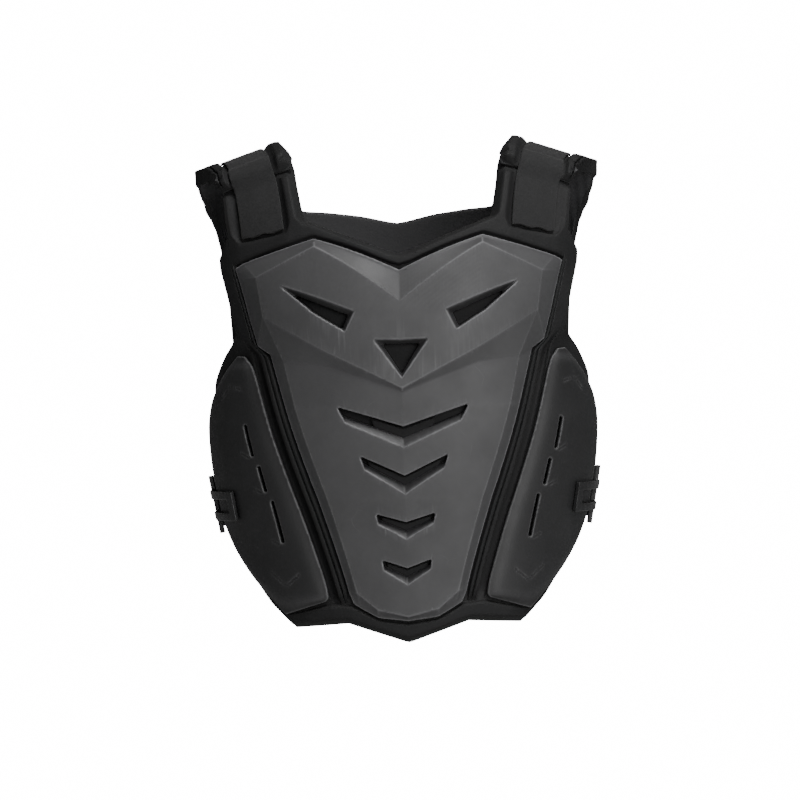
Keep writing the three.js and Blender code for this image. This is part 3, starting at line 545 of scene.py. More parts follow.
def chest_plate(material):
    skin = moulded_sheet("chest_plate_skin", with_lips(plate_lines), PLATE_STEP, on_front)
    height_at = height_of(skin)
    piece = thick_copy(skin, "chest_plate_shell")
    mirrored_eye = {name: tuple(overturned(line) for line in strip) for name, strip in EYE.items()}
    vents = [EYE, mirrored_eye, TRIANGLE] + [chevron_vent(chevron) for chevron in CHEVRONS]
    solids = [vent_solids(f"vent_{number}", vent, height_at) for number, vent in enumerate(vents)]
    combine(piece, [collar for collar, _ in solids], "UNION")
    combine(piece, [cutter for _, cutter in solids], "DIFFERENCE")
    soften_edges(piece, PLATE_VOXEL, PLATE_FACES, PLATE_SMOOTHING)
    paint_wear_highlight_and_shade(piece, skin)
    bpy.data.objects.remove(skin)
    finish_piece(piece, material, ["chest_plate"])


# Side plates. A row for each section from the apex down, as shares of its length and of its reach. The
# inner edge runs beside the chest plate, and inset moves it outwards at the rounded corners.
SIDE_SECTIONS = [
    {"inner": 0.014, "outer": 0.01, "reach": 0.689, "inset": 0.75},
    {"inner": 0.044, "outer": 0.05, "reach": 0.742, "inset": 0.13},
    {"inner": 0.093, "outer": 0.099, "reach": 0.806, "inset": 0},
    {"inner": 0.167, "outer": 0.184, "reach": 0.912, "inset": 0},
    {"inner": 0.27, "outer": 0.27, "reach": 0.974, "inset": 0},
    {"inner": 0.442, "outer": 0.442, "reach": 1, "inset": 0},
    {"inner": 0.628, "outer": 0.642, "reach": 0.969, "inset": 0},
    {"inner": 0.767, "outer": 0.753, "reach": 0.872, "inset": 0},
    {"inner": 0.888, "outer": 0.884, "reach": 0.719, "inset": 0},
    {"inner": 0.934, "outer": 0.96, "reach": 0.62, "inset": 0.25},
    {"inner": 0.947, "outer": 0.998, "reach": 0.575, "inset": 0.75},
]
SLOTS = [
    {"top": 0.273, "bottom": 0.389, "drift": 0.11},
    {"top": 0.426, "bottom": 0.522, "drift": 0.12},
    {"top": 0.556, "bottom": 0.717, "drift": 0.22},
]
# Engraved lines: a tick outwards from the foot of each slot, a V near the lower end and an arc near the top
MARKS = [
    [(93.7, -210), (107, -220), (121, -208)],
    [(129, -60), (140, -57), (151, -67)],
]
MARK_WIDTH = 1.3
MARK_DEPTH = 0.8
TICK_LENGTH = 8
TICK_RISE = 3
TICK_DROP = 1


def side_inner(v):
    return plate_edge(v) + PLATE_SPACING


# Share of the side plate's lift at distances in from its inner and outer edge. Where the plate is narrower
# than SIDE_FULL_WIDTH, the distances shrink with it.
SIDE_FULL_WIDTH = 48
SIDE_PROFILE_INNER = ((0, 0), (EDGE_LIP, 0.1), (7, 0.62), (14, 0.88), (26, 1))
SIDE_PROFILE_OUTER = ((14, 1), (8, 0.85), (EDGE_LIP, 0.12), (0, 0))


def side_row(section, at_end):
    inner_v = SIDE_TOP - SIDE_LENGTH * section["inner"]
    start = (side_inner(inner_v) + SIDE_BEVEL * section["inset"], inner_v)
    end = (SIDE_REACH * section["reach"], SIDE_TOP - SIDE_LENGTH * section["outer"])
    width = math.dist(start, end)
    scale = min(1, width / SIDE_FULL_WIDTH)
    stops = [(at * scale / width, lift) for at, lift in SIDE_PROFILE_INNER]
    stops += [(1 - at * scale / width, lift) for at, lift in SIDE_PROFILE_OUTER]
    full_lift = 0 if at_end else SIDE_LIFT
    return [(*lerp(start, end, share), RIM + full_lift * lift) for share, lift in stops]


# A cutter along a line on a side plate, from one distance out to well above the skin
def strip_cutter(name, line, width, low_at, side):
    rings = []
    for height_at in (low_at, lambda u, v: CUT_HEIGHT):
        upper, lower = [], []
        for index, (u, v) in enumerate(line):
            before, after = line[max(index - 1, 0)], line[min(index + 1, len(line) - 1)]
            along = (Vector(after) - Vector(before)).normalized()
            aside = Vector((-along.y, along.x)) * width / 2
            upper.append((side * (u + aside.x), v + aside.y, height_at(u, v)))
            lower.append((side * (u - aside.x), v - aside.y, height_at(u, v)))
        rings.append((upper, lower))
    return ring_solid(name, rings)


def slot_ends(slot):
    ends = []
    for share, drift in ((slot["top"], 0), (slot["bottom"], slot["drift"])):
        v = SIDE_TOP - SIDE_LENGTH * share
        ends.append((side_inner(v) + SLOT_INSET * (1 + drift), v))
    return ends


def tick_at(foot):
    u, v = foot
    return [(u + SLOT_WIDTH, v - TICK_DROP), (u + SLOT_WIDTH + TICK_LENGTH, v + TICK_RISE)]


def side_cutters(name, side, height_at):
    def under_skin(u, v):
        return height_at(side * u, v) - MARK_DEPTH

    slots = [slot_ends(slot) for slot in SLOTS]
    cutters = []
    for ends in slots:
        path = stepped_line(ends, VENT_STEP)
        cutters.append(strip_cutter(f"{name}_slot", path, SLOT_WIDTH, lambda u, v: FOAM, side))
    for line in [tick_at(foot) for _, foot in slots] + MARKS:
        path = stepped_line(line, VENT_STEP / 2)
        cutters.append(strip_cutter(f"{name}_mark", path, MARK_WIDTH, under_skin, side))
    return cutters


def side_plate(side, name, node, material):
    ends = (0, len(SIDE_SECTIONS) - 1)
    lines = [side_row(section, index in ends) for index, section in enumerate(SIDE_SECTIONS)]
    rows = refine(with_end_lips(lines), GRID_STEP)
    rows.reverse()
    if side < 0:
        rows = [[(-u, v, t) for u, v, t in reversed(row)] for row in rows]
    skin = lay_grid(f"{name}_skin", rows, on_front)
    crease_border(skin, len(rows), len(rows[0]))
    apply_modifier(skin, "SUBSURF", levels=2, render_levels=2)
    piece = thick_copy(skin, name)
    combine(piece, side_cutters(name, side, height_of(skin)), "DIFFERENCE")
    soften_edges(piece, SIDE_VOXEL, SIDE_FACES, PLATE_SMOOTHING)
    paint_wear_highlight_and_shade(piece, skin)
    bpy.data.objects.remove(skin)
    finish_piece(piece, material, [node])


# Back plate, as shares of its length below its top and of its half width
BACK_PLATE_SECTIONS = [
    {"down": 0, "reach": 0.72},
    {"down": 0.04, "reach": 0.86},
    {"down": 0.3, "reach": 1},
    {"down": 0.65, "reach": 0.86},
    {"down": 0.96, "reach": 0.6},
    {"down": 1, "reach": 0.52},
]


def back_plate(material):
    half = []
    for section in BACK_PLATE_SECTIONS:
        width = BACK_PLATE_HALF_WIDTH * section["reach"]
        v = BACK_PLATE_TOP - BACK_PLATE_LENGTH * section["down"]
        on_rim = section["down"] in (0, 1)
        middle = (width * BACK_PLATE_MIDDLE["share"], BACK_PLATE_MIDDLE["lift"])
        stations = ((0, 1), middle, (width - BACK_PLATE_BEVEL, BACK_PLATE_SHOULDER), (width, 0))
        half.append([(u, v, RIM + (0 if on_rim else BACK_PLATE_LIFT * lift)) for u, lift in stations])
    skin = moulded_sheet("back_plate_skin", with_lips(half), PLATE_STEP, on_back)
    edit_whole(skin, bpy.ops.mesh.flip_normals)
    piece = thick_copy(skin, "back_plate_shell")
    soften_edges(piece, BACK_VOXEL, BACK_FACES, BACK_SMOOTHING)
    paint_wear_highlight_and_shade(piece, skin)
    bpy.data.objects.remove(skin)
    finish_piece(piece, material, ["back_plate"])


# A copy of a CAD node as one closed mesh of quads
def cad_copy(node, name):
    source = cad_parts[node]
    piece = source.copy()
    piece.data = source.data.copy()
    piece.parent = None
    piece.name = name
    for key in list(piece.keys()):
        del piece[key]
    bpy.context.scene.collection.objects.link(piece)
    select_only(piece)
    bpy.ops.object.mode_set(mode="EDIT")
    bpy.ops.mesh.select_all(action="SELECT")
    bpy.ops.mesh.remove_doubles(threshold=MERGE_GAP * MM)
    widest = math.radians(QUAD_ANGLE)
    bpy.ops.mesh.tris_convert_to_quads(face_threshold=widest, shape_threshold=widest)
    bpy.ops.mesh.select_all(action="DESELECT")
    bpy.ops.mesh.edges_select_sharp(sharpness=math.radians(PAD_SHARP_ANGLE))
    bpy.ops.transform.edge_crease(value=PAD_CREASE)
    bpy.ops.object.mode_set(mode="OBJECT")
    return piece


# Picks the faces of a piece whose middle, in millimetres, passes a test, and divides them
def divide_where(piece, inside, cuts):
    select_only(piece)
    bpy.ops.object.mode_set(mode="EDIT")
    bpy.ops.mesh.select_all(action="DESELECT")
    bpy.ops.object.mode_set(mode="OBJECT")
    for polygon in piece.data.polygons:
        polygon.select = inside(polygon.center / MM)
    bpy.ops.object.mode_set(mode="EDIT")
    bpy.ops.mesh.subdivide(number_cuts=cuts, smoothness=0)
    bpy.ops.object.mode_set(mode="OBJECT")


# How far along the form a point over the armpits lies, measured up the front
def front_distance(point):
    x, y, z = point
    turn = math.atan2((z - ARMPIT_Z) / (CREST_RISE - crest_fall(x)), -y / CHEST_DEPTH)
    return turn / (math.pi / 2) * CREST_LENGTH


# Folds of the wings. Rolled ones lie across their front ends, between two distances along the form, and
# slant outwards from the strap, less on its inner side. Upright ones lie inside the outer parts.
WING_LOW_Z = -45
WING_BACK_Y = 5
WING_INNER_X = 60
WING_CUTS = 2
ROLL_PITCH = 10
ROLL_DEPTH = 3
ROLL_START = 104
ROLL_LEAD = 6
ROLL_END = 162
ROLL_FADE = 14
ROLL_SLANT = 0.35
ROLL_INNER_SHARE = 0.6
ROLL_FACING = -0.2
FOLD_PITCH = 7.5
FOLD_DEPTH = 1.6
FOLD_START = 0.8
FOLD_LEAN = 0.1
FOLD_FADE = 8
FOLDS_ABOVE_ARMPIT = 10
STRAP_X = 121
STRAP_HALF = 24
STRAP_FADE = (STRAP_HALF - 2, STRAP_HALF + 4)
LINING_FACING = (0.2, 0.5)


# Grooves between round folds: 0 on a fold's crown and 1 in the groove
def groove_at(distance, pitch):
    return 1 - math.sqrt(abs(math.sin(math.pi * distance / pitch)))


def fold_wings(piece):
    def near_end(middle):
        return middle.z > WING_LOW_Z and middle.y < WING_BACK_Y and abs(middle.x) > WING_INNER_X

    divide_where(piece, near_end, WING_CUTS)
    normals = [vertex.normal.copy() for vertex in piece.data.vertices]
    piece.data.attributes.new("lining", "FLOAT", "POINT")
    lining = piece.data.attributes["lining"].data
    for mask, vertex, normal in zip(lining, piece.data.vertices, normals):
        axis_point = Vector((0, 0, min(vertex.co.z, ARMPIT_Z * MM)))
        mask.value = smoothstep(-normal.dot((vertex.co - axis_point).normalized()), *LINING_FACING)
    for vertex, normal in zip(piece.data.vertices, normals):
        point = vertex.co / MM
        if point.z < ARMPIT_Z + FOLDS_ABOVE_ARMPIT:
            continue
        aside = abs(abs(point.x) - STRAP_X)
        outside = abs(point.x) > STRAP_X
        way = front_distance(point)
        outwards = normal.dot(Vector((0, point.y, point.z - ARMPIT_Z)).normalized())
        on_rolls = aside > STRAP_HALF and ROLL_START - ROLL_LEAD < way < ROLL_END
        inside_wing = outside and aside > STRAP_HALF - FOLD_FADE and way > CREST_LENGTH * FOLD_START
        if on_rolls and outwards > ROLL_FACING:
            fade = smoothstep(aside, *STRAP_FADE) * (1 - smoothstep(way, ROLL_END - ROLL_FADE, ROLL_END))
            slant = ROLL_SLANT * (1 if outside else ROLL_INNER_SHARE)
            groove = groove_at(way - ROLL_START - slant * (aside - STRAP_HALF), ROLL_PITCH)
            vertex.co -= normal * groove * ROLL_DEPTH * fade * MM
        elif inside_wing and outwards < 0:
            fade = smoothstep(aside, STRAP_HALF - FOLD_FADE, STRAP_HALF)
            groove = groove_at(abs(point.x) + FOLD_LEAN * point.z, FOLD_PITCH)
            vertex.co -= normal * groove * FOLD_DEPTH * fade * MM
    piece.data.update()


# Foam that bulges into the chevron vents. The first has it in its middle only.
FLOOR_DEPTH = 5.2
FLOOR_ROOT = 2
FLOOR_INSET = 1.6
FLOOR_SHARE_FIRST = 0.5
FLOOR_SHARE = 0.86
FLOOR_PARTS = [6, 6]
FLOOR_ROUND = 0.8
FLOOR_ROUND_ANGLE = 40


def vent_floor(number, chevron, height_at):
    upper, lower = chevron_vent(chevron)["rim"]
    keep = FLOOR_SHARE_FIRST if number == 0 else FLOOR_SHARE
    top = lerp(upper[1], upper[-1], keep)
    low = lerp(lower[1], lower[-1], keep)
    inset = FLOOR_INSET / PLATE_LENGTH
    strip = even_strip(
        [(0, upper[1][1] + inset), (top[0], top[1] + inset)],
        [(0, lower[1][1] - inset), (low[0], low[1] - inset)],
    )
    rings = [
        vent_ring(strip, FLOOR_PARTS, 0, lambda face: face - FLOOR_DEPTH, height_at),
        vent_ring(strip, FLOOR_PARTS, 0, lambda face: FOAM - FLOOR_ROOT, height_at),
    ]
    return ring_solid(f"vent_floor_{number}", rings)


def soft_pad(node, name, material, shape):
    piece = cad_copy(node, name)
    apply_modifier(piece, "SUBSURF", levels=2, render_levels=2)
    shape(piece)
    smooth_shading(piece)
    finish_piece(piece, material, [node])


# Rounds the edges sharper than an angle in degrees by a width in millimetres
def round_edges(piece, width, angle, segments):
    settings = {"segments": segments, "limit_method": "ANGLE", "angle_limit": math.radians(angle)}
    apply_modifier(piece, "BEVEL", width=width * MM, **settings)


def fill_vents(piece):
    skin = moulded_sheet("vent_floor_skin", plate_lines, GRID_STEP, on_front)
    height_at = height_of(skin)
    floors = [vent_floor(number, chevron, height_at) for number, chevron in enumerate(CHEVRONS)]
    for floor in floors:
        round_edges(floor, FLOOR_ROUND, FLOOR_ROUND_ANGLE, 3)
    bpy.ops.object.select_all(action="DESELECT")
    for item in [*floors, piece]:
        item.select_set(True)
    bpy.context.view_layer.objects.active = piece
    bpy.ops.object.join()
    bpy.data.objects.remove(skin)


# Straps and buckles
LIP_WIDTH = 4
TAB_INNER = 74
TAB_WIDTH = 66
TAB_LENGTH = 73
WING_OVERLAP = 14
WING_WALL = 4.5
WING_END_RAMP = 12
STRAP_WIDTH = 38
STRAP_WALL = 2
STRAP_TAIL = 9.5
STRAP_BACK_GAP = 8
STRAP_GAP = 0.5
STRAP_GRID = 6
STRAP_COLUMNS = 12
STRAP_ROUND = 0.45
STRAP_ROUND_ANGLE = 50
RAGGED = 0.7
RAGGED_TURN = 5.1
HOOK_U = 146
HOOK_V = -153
HOOK_HEIGHT = 24
HOOK_WIDTH = 7
HOOK_REACH = 56
HOOK_LIFT = 0.9
HOOK_WALL = 3.4
ARM_HEIGHT = 6.5
BAR_HEIGHT = 48
BAR_WIDTH = 5
BAR_LIFT = 2.3
BAR_EXTRA = 1
BUCKLE_VOXEL = 0.5
BUCKLE_FACES = 20000
BUCKLE_SMOOTHING = 4
ELASTIC_WIDTH = 38
ELASTIC_COLUMNS = 6
ELASTIC_RISE = 1
ELASTIC_LANDING = 0.89
ELASTIC_END = 118
BACK_PAD_REACH = 166
TAB_MIDDLE = TAB_INNER + TAB_WIDTH / 2
TAB_TOP = PLATE_TOP + TAB_LENGTH
WING_FRONT = TAB_TOP - WING_OVERLAP
WING_RAISE = FOAM + SEAT_GAP + WING_WALL + STRAP_GAP


def over_crest(front_v):
    return 2 * CREST_LENGTH - front_v


STRAP_ROUTE = [
    (over_crest(PLATE_TOP + STRAP_TAIL), FOAM + STRAP_GAP),
    (over_crest(WING_FRONT - 2 * LIP_WIDTH), FOAM + STRAP_GAP),
    (over_crest(WING_FRONT), FOAM + SEAT_GAP + LIP_WIDTH / 2 + 2 * STRAP_GAP),
    (over_crest(WING_FRONT) - LIP_WIDTH, WING_RAISE),
    (over_crest(TAB_TOP) - LIP_WIDTH, WING_RAISE),
    (over_crest(TAB_TOP) - WING_END_RAMP, FOAM + STRAP_GAP),
    (BACK_PLATE_TOP + STRAP_BACK_GAP, FOAM + STRAP_GAP),
]


# A strap as a closed band with a UV map in metres: across it and along it
def lay_band(name, rows, place):
    piece = lay_grid(name, rows, place)
    width = len(rows[0])
    corners = [vertex.co for vertex in piece.data.vertices]
    along = [0]
    for first in range(width, len(corners), width):
        along.append(along[-1] + (corners[first] - corners[first - width]).length)
    uv = piece.data.uv_layers[0].data
    for polygon in piece.data.polygons:
        for loop in polygon.loop_indices:
            row, column = divmod(piece.data.loops[loop].vertex_index, width)
            uv[loop].uv = ((corners[column] - corners[0]).length, along[row])
    edit_whole(piece, bpy.ops.mesh.normals_make_consistent, inside=False)
    middle = Vector((0, 0, ARMPIT_Z * MM))
    outwards = sum(polygon.normal.dot(polygon.center - middle) for polygon in piece.data.polygons)
    offset = -1 if outwards > 0 else 1
    apply_modifier(piece, "SOLIDIFY", thickness=STRAP_WALL * MM, offset=offset, use_even_offset=True)
    round_edges(piece, STRAP_ROUND, STRAP_ROUND_ANGLE, 2)
    apply_modifier(piece, "SUBSURF", levels=1, render_levels=1)
    smooth_shading(piece)
    return piece, along[-1]


# The cut end above the chest plate is a little ragged
def shoulder_strap(side, name, node, material):
    rows = []
    for number, (v, b) in enumerate(stepped_line(STRAP_ROUTE, STRAP_GRID)):
        half = STRAP_WIDTH / 2 / spread_at(v)
        row = []
        for column in range(STRAP_COLUMNS + 1):
            share = 2 * column / STRAP_COLUMNS - 1
            ragged = RAGGED * math.sin(RAGGED_TURN * column + side) if number == 0 else 0
            row.append((side * (TAB_MIDDLE + share * half), v + ragged, b + STRAP_WALL))
        rows.append(row)
    piece, length = lay_band(name, rows, on_back)
    finish_piece(piece, material, [node])


def side_strap(side, name, node, material):
    route = [
        (HOOK_U + HOOK_REACH + STRAP_GAP, RIM + BAR_LIFT + ELASTIC_RISE),
        (2 * QUARTER - BACK_PAD_REACH * ELASTIC_LANDING, FOAM + STRAP_GAP),
        (2 * QUARTER - ELASTIC_END, FOAM + STRAP_GAP),
    ]
    shares = [column / ELASTIC_COLUMNS - 0.5 for column in range(ELASTIC_COLUMNS + 1)]
    rows = []
    for u, b in stepped_line(route, STRAP_GRID):
        rows.append([(side * u, HOOK_V + ELASTIC_WIDTH * share, b + STRAP_WALL) for share in shares])
    piece, length = lay_band(name, rows, on_girdle)
    finish_piece(piece, material, [node])


# A plain bar of the buckle, between two distances round, two heights and two distances out
def buckle_bar(name, side, reach, middle_v, height, levels):
    stops = stepped_line([(u, 0) for u in reach], VENT_STEP)
    rings = []
    for t in levels:
        heights = (middle_v + height / 2, middle_v - height / 2)
        rings.append([[(side * u, v, t) for u, _ in stops] for v in heights])
    return ring_solid(name, rings)


def side_buckle(side, name, node, material):
    rise = RIM + SIDE_LIFT + HOOK_LIFT
    hook_levels = (rise, rise + HOOK_WALL)
    bar_rise = RIM + BAR_LIFT
    bar_levels = (bar_rise, bar_rise + HOOK_WALL + BAR_EXTRA)
    bar_start = HOOK_U + HOOK_REACH - BAR_WIDTH
    arm = (HOOK_HEIGHT - ARM_HEIGHT) / 2
    arm_reach = (HOOK_U + HOOK_WIDTH / 2, bar_start + BAR_WIDTH / 2)
    piece = buckle_bar(name, side, (HOOK_U, HOOK_U + HOOK_WIDTH), HOOK_V, HOOK_HEIGHT, hook_levels)
    others = [
        buckle_bar("arm_upper", side, arm_reach, HOOK_V + arm, ARM_HEIGHT, hook_levels),
        buckle_bar("arm_lower", side, arm_reach, HOOK_V - arm, ARM_HEIGHT, hook_levels),
        buckle_bar("bar", side, (bar_start, bar_start + BAR_WIDTH), HOOK_V, BAR_HEIGHT, bar_levels),
    ]
    combine(piece, others, "UNION")
    soften_edges(piece, BUCKLE_VOXEL, BUCKLE_FACES, BUCKLE_SMOOTHING)
    finish_piece(piece, material, [node])


# Shader groups
def new_group(name, inputs, outputs):
    group = bpy.data.node_groups.new(name, "ShaderNodeTree")
    for label, value in inputs:
        socket = group.interface.new_socket(name=label, in_out="INPUT", socket_type="NodeSocketFloat")
        socket.default_value = value
    group.interface.new_socket(name="Vector", in_out="INPUT", socket_type="NodeSocketVector")
    for label in outputs:
        group.interface.new_socket(name=label, in_out="OUTPUT", socket_type="NodeSocketFloat")
    return group, group.nodes.new("NodeGroupInput").outputs, group.nodes.new("NodeGroupOutput").inputs


def add_node(tree, kind, inputs=None, **settings):
    node = tree.nodes.new(f"ShaderNode{kind}")
    for name, value in settings.items():
        setattr(node, name, value)
    for name, value in (inputs or {}).items():
        if isinstance(value, bpy.types.NodeSocket):
            tree.links.new(value, node.inputs[name])
        else:
            node.inputs[name].default_value = value
    return node


def reckon(tree, operation, first, second=0):
    return add_node(tree, "Math", {0: first, 1: second}, operation=operation).outputs[0]


def noise(tree, vector, scale, detail=2.0):
    inputs = {"Vector": vector, "Scale": scale, "Detail": detail}
    return add_node(tree, "TexNoise", inputs).outputs["Fac"]


def product(tree, first, second):
    return reckon(tree, "MULTIPLY", first, second)


def remap(tree, value, low, high, to_low=0.0, to_high=1.0):
    inputs = {"Value": value, "From Min": low, "From Max": high, "To Min": to_low, "To Max": to_high}
    return add_node(tree, "MapRange", inputs).outputs[0]


# Fine grain of a mould, with broad clouds of wear
CLOUD_SHARE = 0.03


def grain_group():
    group, given, put = new_group("mould_grain", [("Scale", 900)], ["Height", "Clouds"])
    fine = noise(group, given["Vector"], given["Scale"], 3)
    broad = noise(group, given["Vector"], product(group, given["Scale"], CLOUD_SHARE), 4)
    group.links.new(fine, put["Height"])
    group.links.new(broad, put["Clouds"])
    return group


# Thin scratches that gather in a few patches. They bend a little, as the noise moves their cells.
SCRATCH_BEND_SCALE = 22.0
SCRATCH_BEND = (0.035, 0.035, 0.035)
SCRATCH_WIDTH = 0.007
PATCH_SCALE = 30


def scratch_group():
    group, given, put = new_group("scratches", [("Scale", 38), ("Amount", 0.5)], ["Mask"])
    inputs = {"Vector": given["Vector"], "Scale": SCRATCH_BEND_SCALE, "Detail": 2.0}
    bent = add_node(group, "TexNoise", inputs).outputs["Color"]
    moved = add_node(group, "VectorMath", {0: bent, 1: SCRATCH_BEND}, operation="MULTIPLY").outputs[0]
    place = add_node(group, "VectorMath", {0: given["Vector"], 1: moved}, operation="ADD").outputs[0]
    inputs = {"Vector": place, "Scale": given["Scale"]}
    cells = add_node(group, "TexVoronoi", inputs, feature="DISTANCE_TO_EDGE").outputs["Distance"]
    line = remap(group, cells, 0.0, SCRATCH_WIDTH, 1.0, 0.0)
    patches = remap(group, noise(group, given["Vector"], PATCH_SCALE), 0.62, 0.7)
    result = product(group, product(group, line, patches), given["Amount"])
    group.links.new(result, put["Mask"])
    return group


# Small closed cells of moulded foam
FOAM_CLOUD_SCALE = 30
FOAM_GRAIN_SCALE = 1400


def foam_group():
    group, given, put = new_group("foam_cells", [("Scale", 650)], ["Height", "Clouds"])
    inputs = {"Vector": given["Vector"], "Scale": given["Scale"]}
    cells = add_node(group, "TexVoronoi", inputs).outputs["Distance"]
    broad = noise(group, given["Vector"], FOAM_CLOUD_SCALE, 4)
    grain = noise(group, given["Vector"], FOAM_GRAIN_SCALE)
    group.links.new(reckon(group, "ADD", cells, grain), put["Height"])
    group.links.new(broad, put["Clouds"])
    return group


# Curled pile of a loop strap
PILE_CLOUD_SCALE = 90


def pile_group():
    group, given, put = new_group("loop_pile", [("Scale", 1100)], ["Height", "Clouds"])
    inputs = {"Vector": given["Vector"], "Scale": given["Scale"], "Detail": 3.0, "Distortion": 1.2}
    curls = add_node(group, "TexNoise", inputs).outputs["Fac"]
    broad = noise(group, given["Vector"], PILE_CLOUD_SCALE, 5)
    group.links.new(curls, put["Height"])
    group.links.new(broad, put["Clouds"])
    return group


# Ribs of a woven elastic, along it and across it. Their number is per metre of the UV map.
FULL_TURN = 6.28
ALONG_SHARE = 0.4
RIB_CLOUD_SCALE = 160


def rib_group():
    group, given, put = new_group("elastic_ribs", [("Across", 330), ("Along", 520)], ["Height", "Clouds"])
    parts = add_node(group, "SeparateXYZ", {"Vector": given["Vector"]}).outputs

    def ribs(part, number):
        return reckon(group, "SINE", product(group, part, product(group, number, FULL_TURN)))

    across = reckon(group, "ABSOLUTE", ribs(parts[0], given["Across"]))
    along = product(group, ribs(parts[1], given["Along"]), ALONG_SHARE)
    weave = reckon(group, "ADD", across, along)
    group.links.new(weave, put["Height"])
    group.links.new(noise(group, given["Vector"], RIB_CLOUD_SCALE, 3), put["Clouds"])
    return group


GRAIN = grain_group()
SCRATCHES = scratch_group()
FOAM_CELLS = foam_group()
PILE = pile_group()
RIBS = rib_group()


def place_group(tree, group, vector, **values):
    node = tree.nodes.new("ShaderNodeGroup")
    node.node_tree = group
    tree.links.new(vector, node.inputs["Vector"])
    for label, value in values.items():
        node.inputs[label].default_value = value
    return node.outputs


# Blue against red and green in every grey
COOLNESS = 1.03


def grey(value):
    return (value, value, value * COOLNESS, 1)


def mixed(tree, share, first, second):
    inputs = {"Fac": share, "Color1": first, "Color2": second}
    return add_node(tree, "MixRGB", inputs).outputs[0]


def start_material(name, uv=False):
    material = bpy.data.materials.new(name)
    material.use_nodes = True
    tree = material.node_tree
    vector = add_node(tree, "TexCoord").outputs["UV" if uv else "Object"]
    return material, tree, tree.nodes["Principled BSDF"], vector


def set_bump(tree, shader, height, strength, distance):
    bump = add_node(tree, "Bump", {"Height": height, "Strength": strength, "Distance": distance * MM})
    tree.links.new(bump.outputs[0], shader.inputs["Normal"])


# Moulded plastic, lighter on scratches and on worn edges with a painted highlight, and darker with painted
# shade where it lies deep in a vent
EDGE_SHARE = 0.85
VENT_SHADE_SHARE = 0.85
VENT_SHADE_FROM = 0.12
VENT_SHADE_FULL = 0.7
VENT_SHADE_DARKNESS = 0.3
SCRATCH_ROUGHNESS = 0.2
SCRATCH_SINK = 0.8
GLOSS_SPREAD = 0.05
GRAIN_STRENGTH = 0.35
GRAIN_DEPTH = 0.12


def moulded(name, dark, light, edge, gloss, scratch):
    material, tree, shader, vector = start_material(name)
    grain = place_group(tree, GRAIN, vector)
    scratches = place_group(tree, SCRATCHES, vector, Amount=scratch)["Mask"]
    depth = add_node(tree, "Attribute", attribute_name="depth").outputs["Fac"]
    wear_and_highlight = add_node(tree, "Attribute", attribute_name="edge_wear_and_highlight").outputs["Fac"]
    base = mixed(tree, remap(tree, grain["Clouds"], 0.35, 0.65), grey(dark), grey(light))
    scuffed = mixed(tree, scratches, base, grey(edge))
    # Worn edges, lighter also as a painted highlight
    worn_and_lit = mixed(tree, product(tree, wear_and_highlight, EDGE_SHARE), scuffed, grey(edge))
    # Painted shade deep in the vents
    vent_shade = remap(tree, depth, VENT_SHADE_FROM, VENT_SHADE_FULL, 0, VENT_SHADE_SHARE)
    vent_shaded = mixed(tree, vent_shade, worn_and_lit, grey(dark * VENT_SHADE_DARKNESS))
    tree.links.new(vent_shaded, shader.inputs["Base Color"])
    rough = remap(tree, grain["Clouds"], 0.3, 0.7, gloss + GLOSS_SPREAD, gloss - GLOSS_SPREAD)
    rougher = reckon(tree, "ADD", rough, product(tree, scratches, SCRATCH_ROUGHNESS))
    tree.links.new(rougher, shader.inputs["Roughness"])
    height = reckon(tree, "SUBTRACT", grain["Height"], product(tree, scratches, SCRATCH_SINK))
    set_bump(tree, shader, height, GRAIN_STRENGTH, GRAIN_DEPTH)
    return material


# Foam and cloth, darker with painted shade in their pits, and lighter on the lining inside the pads
PIT_SHADE_SHARE = 0.35
PIT_SHADE_DARKNESS = 0.5
LINING_SHARE = 0.9
LINING_GAIN = 4
ROUGH_SPREAD = 0.06


def soft(name, group, dark, light, rough, strength, distance, uv=False):
    material, tree, shader, vector = start_material(name, uv)
    relief = place_group(tree, group, vector)
    colour = mixed(tree, remap(tree, relief["Clouds"], 0.3, 0.7), grey(dark), grey(light))
    # Painted shade in the pits of the relief
    pit_shade = remap(tree, relief["Height"], 0.2, 0.9, PIT_SHADE_SHARE, 0)
    pit_shaded = mixed(tree, pit_shade, colour, grey(dark * PIT_SHADE_DARKNESS))
    lining = add_node(tree, "Attribute", attribute_name="lining").outputs["Fac"]
    lined = mixed(tree, product(tree, lining, LINING_SHARE), pit_shaded, grey(light * LINING_GAIN))
    tree.links.new(lined, shader.inputs["Base Color"])
    uneven = remap(tree, relief["Clouds"], 0.2, 0.8, rough - ROUGH_SPREAD, rough + ROUGH_SPREAD)
    tree.links.new(uneven, shader.inputs["Roughness"])
    set_bump(tree, shader, relief["Height"], strength, distance)
    return material


# The edge greys are for scratches and for worn edges with a painted highlight
PLATE_GREYS = {"dark": 0.052, "light": 0.062, "edge": 0.17}
SIDE_GREYS = {"dark": 0.015, "light": 0.021, "edge": 0.09}
BUCKLE_GREYS = {"dark": 0.016, "light": 0.022, "edge": 0.06}
FOAM_LOOK = {"dark": 0.011, "light": 0.016, "rough": 0.72, "strength": 0.4, "distance": 0.25}
STRAP_LOOK = {"dark": 0.012, "light": 0.02, "rough": 0.9, "strength": 0.8, "distance": 0.5}
ELASTIC_LOOK = {"dark": 0.008, "light": 0.013, "rough": 0.85, "strength": 0.6, "distance": 0.3}
STRAP_SHEEN = 0.06
FOAM_SPECULAR = 0.3

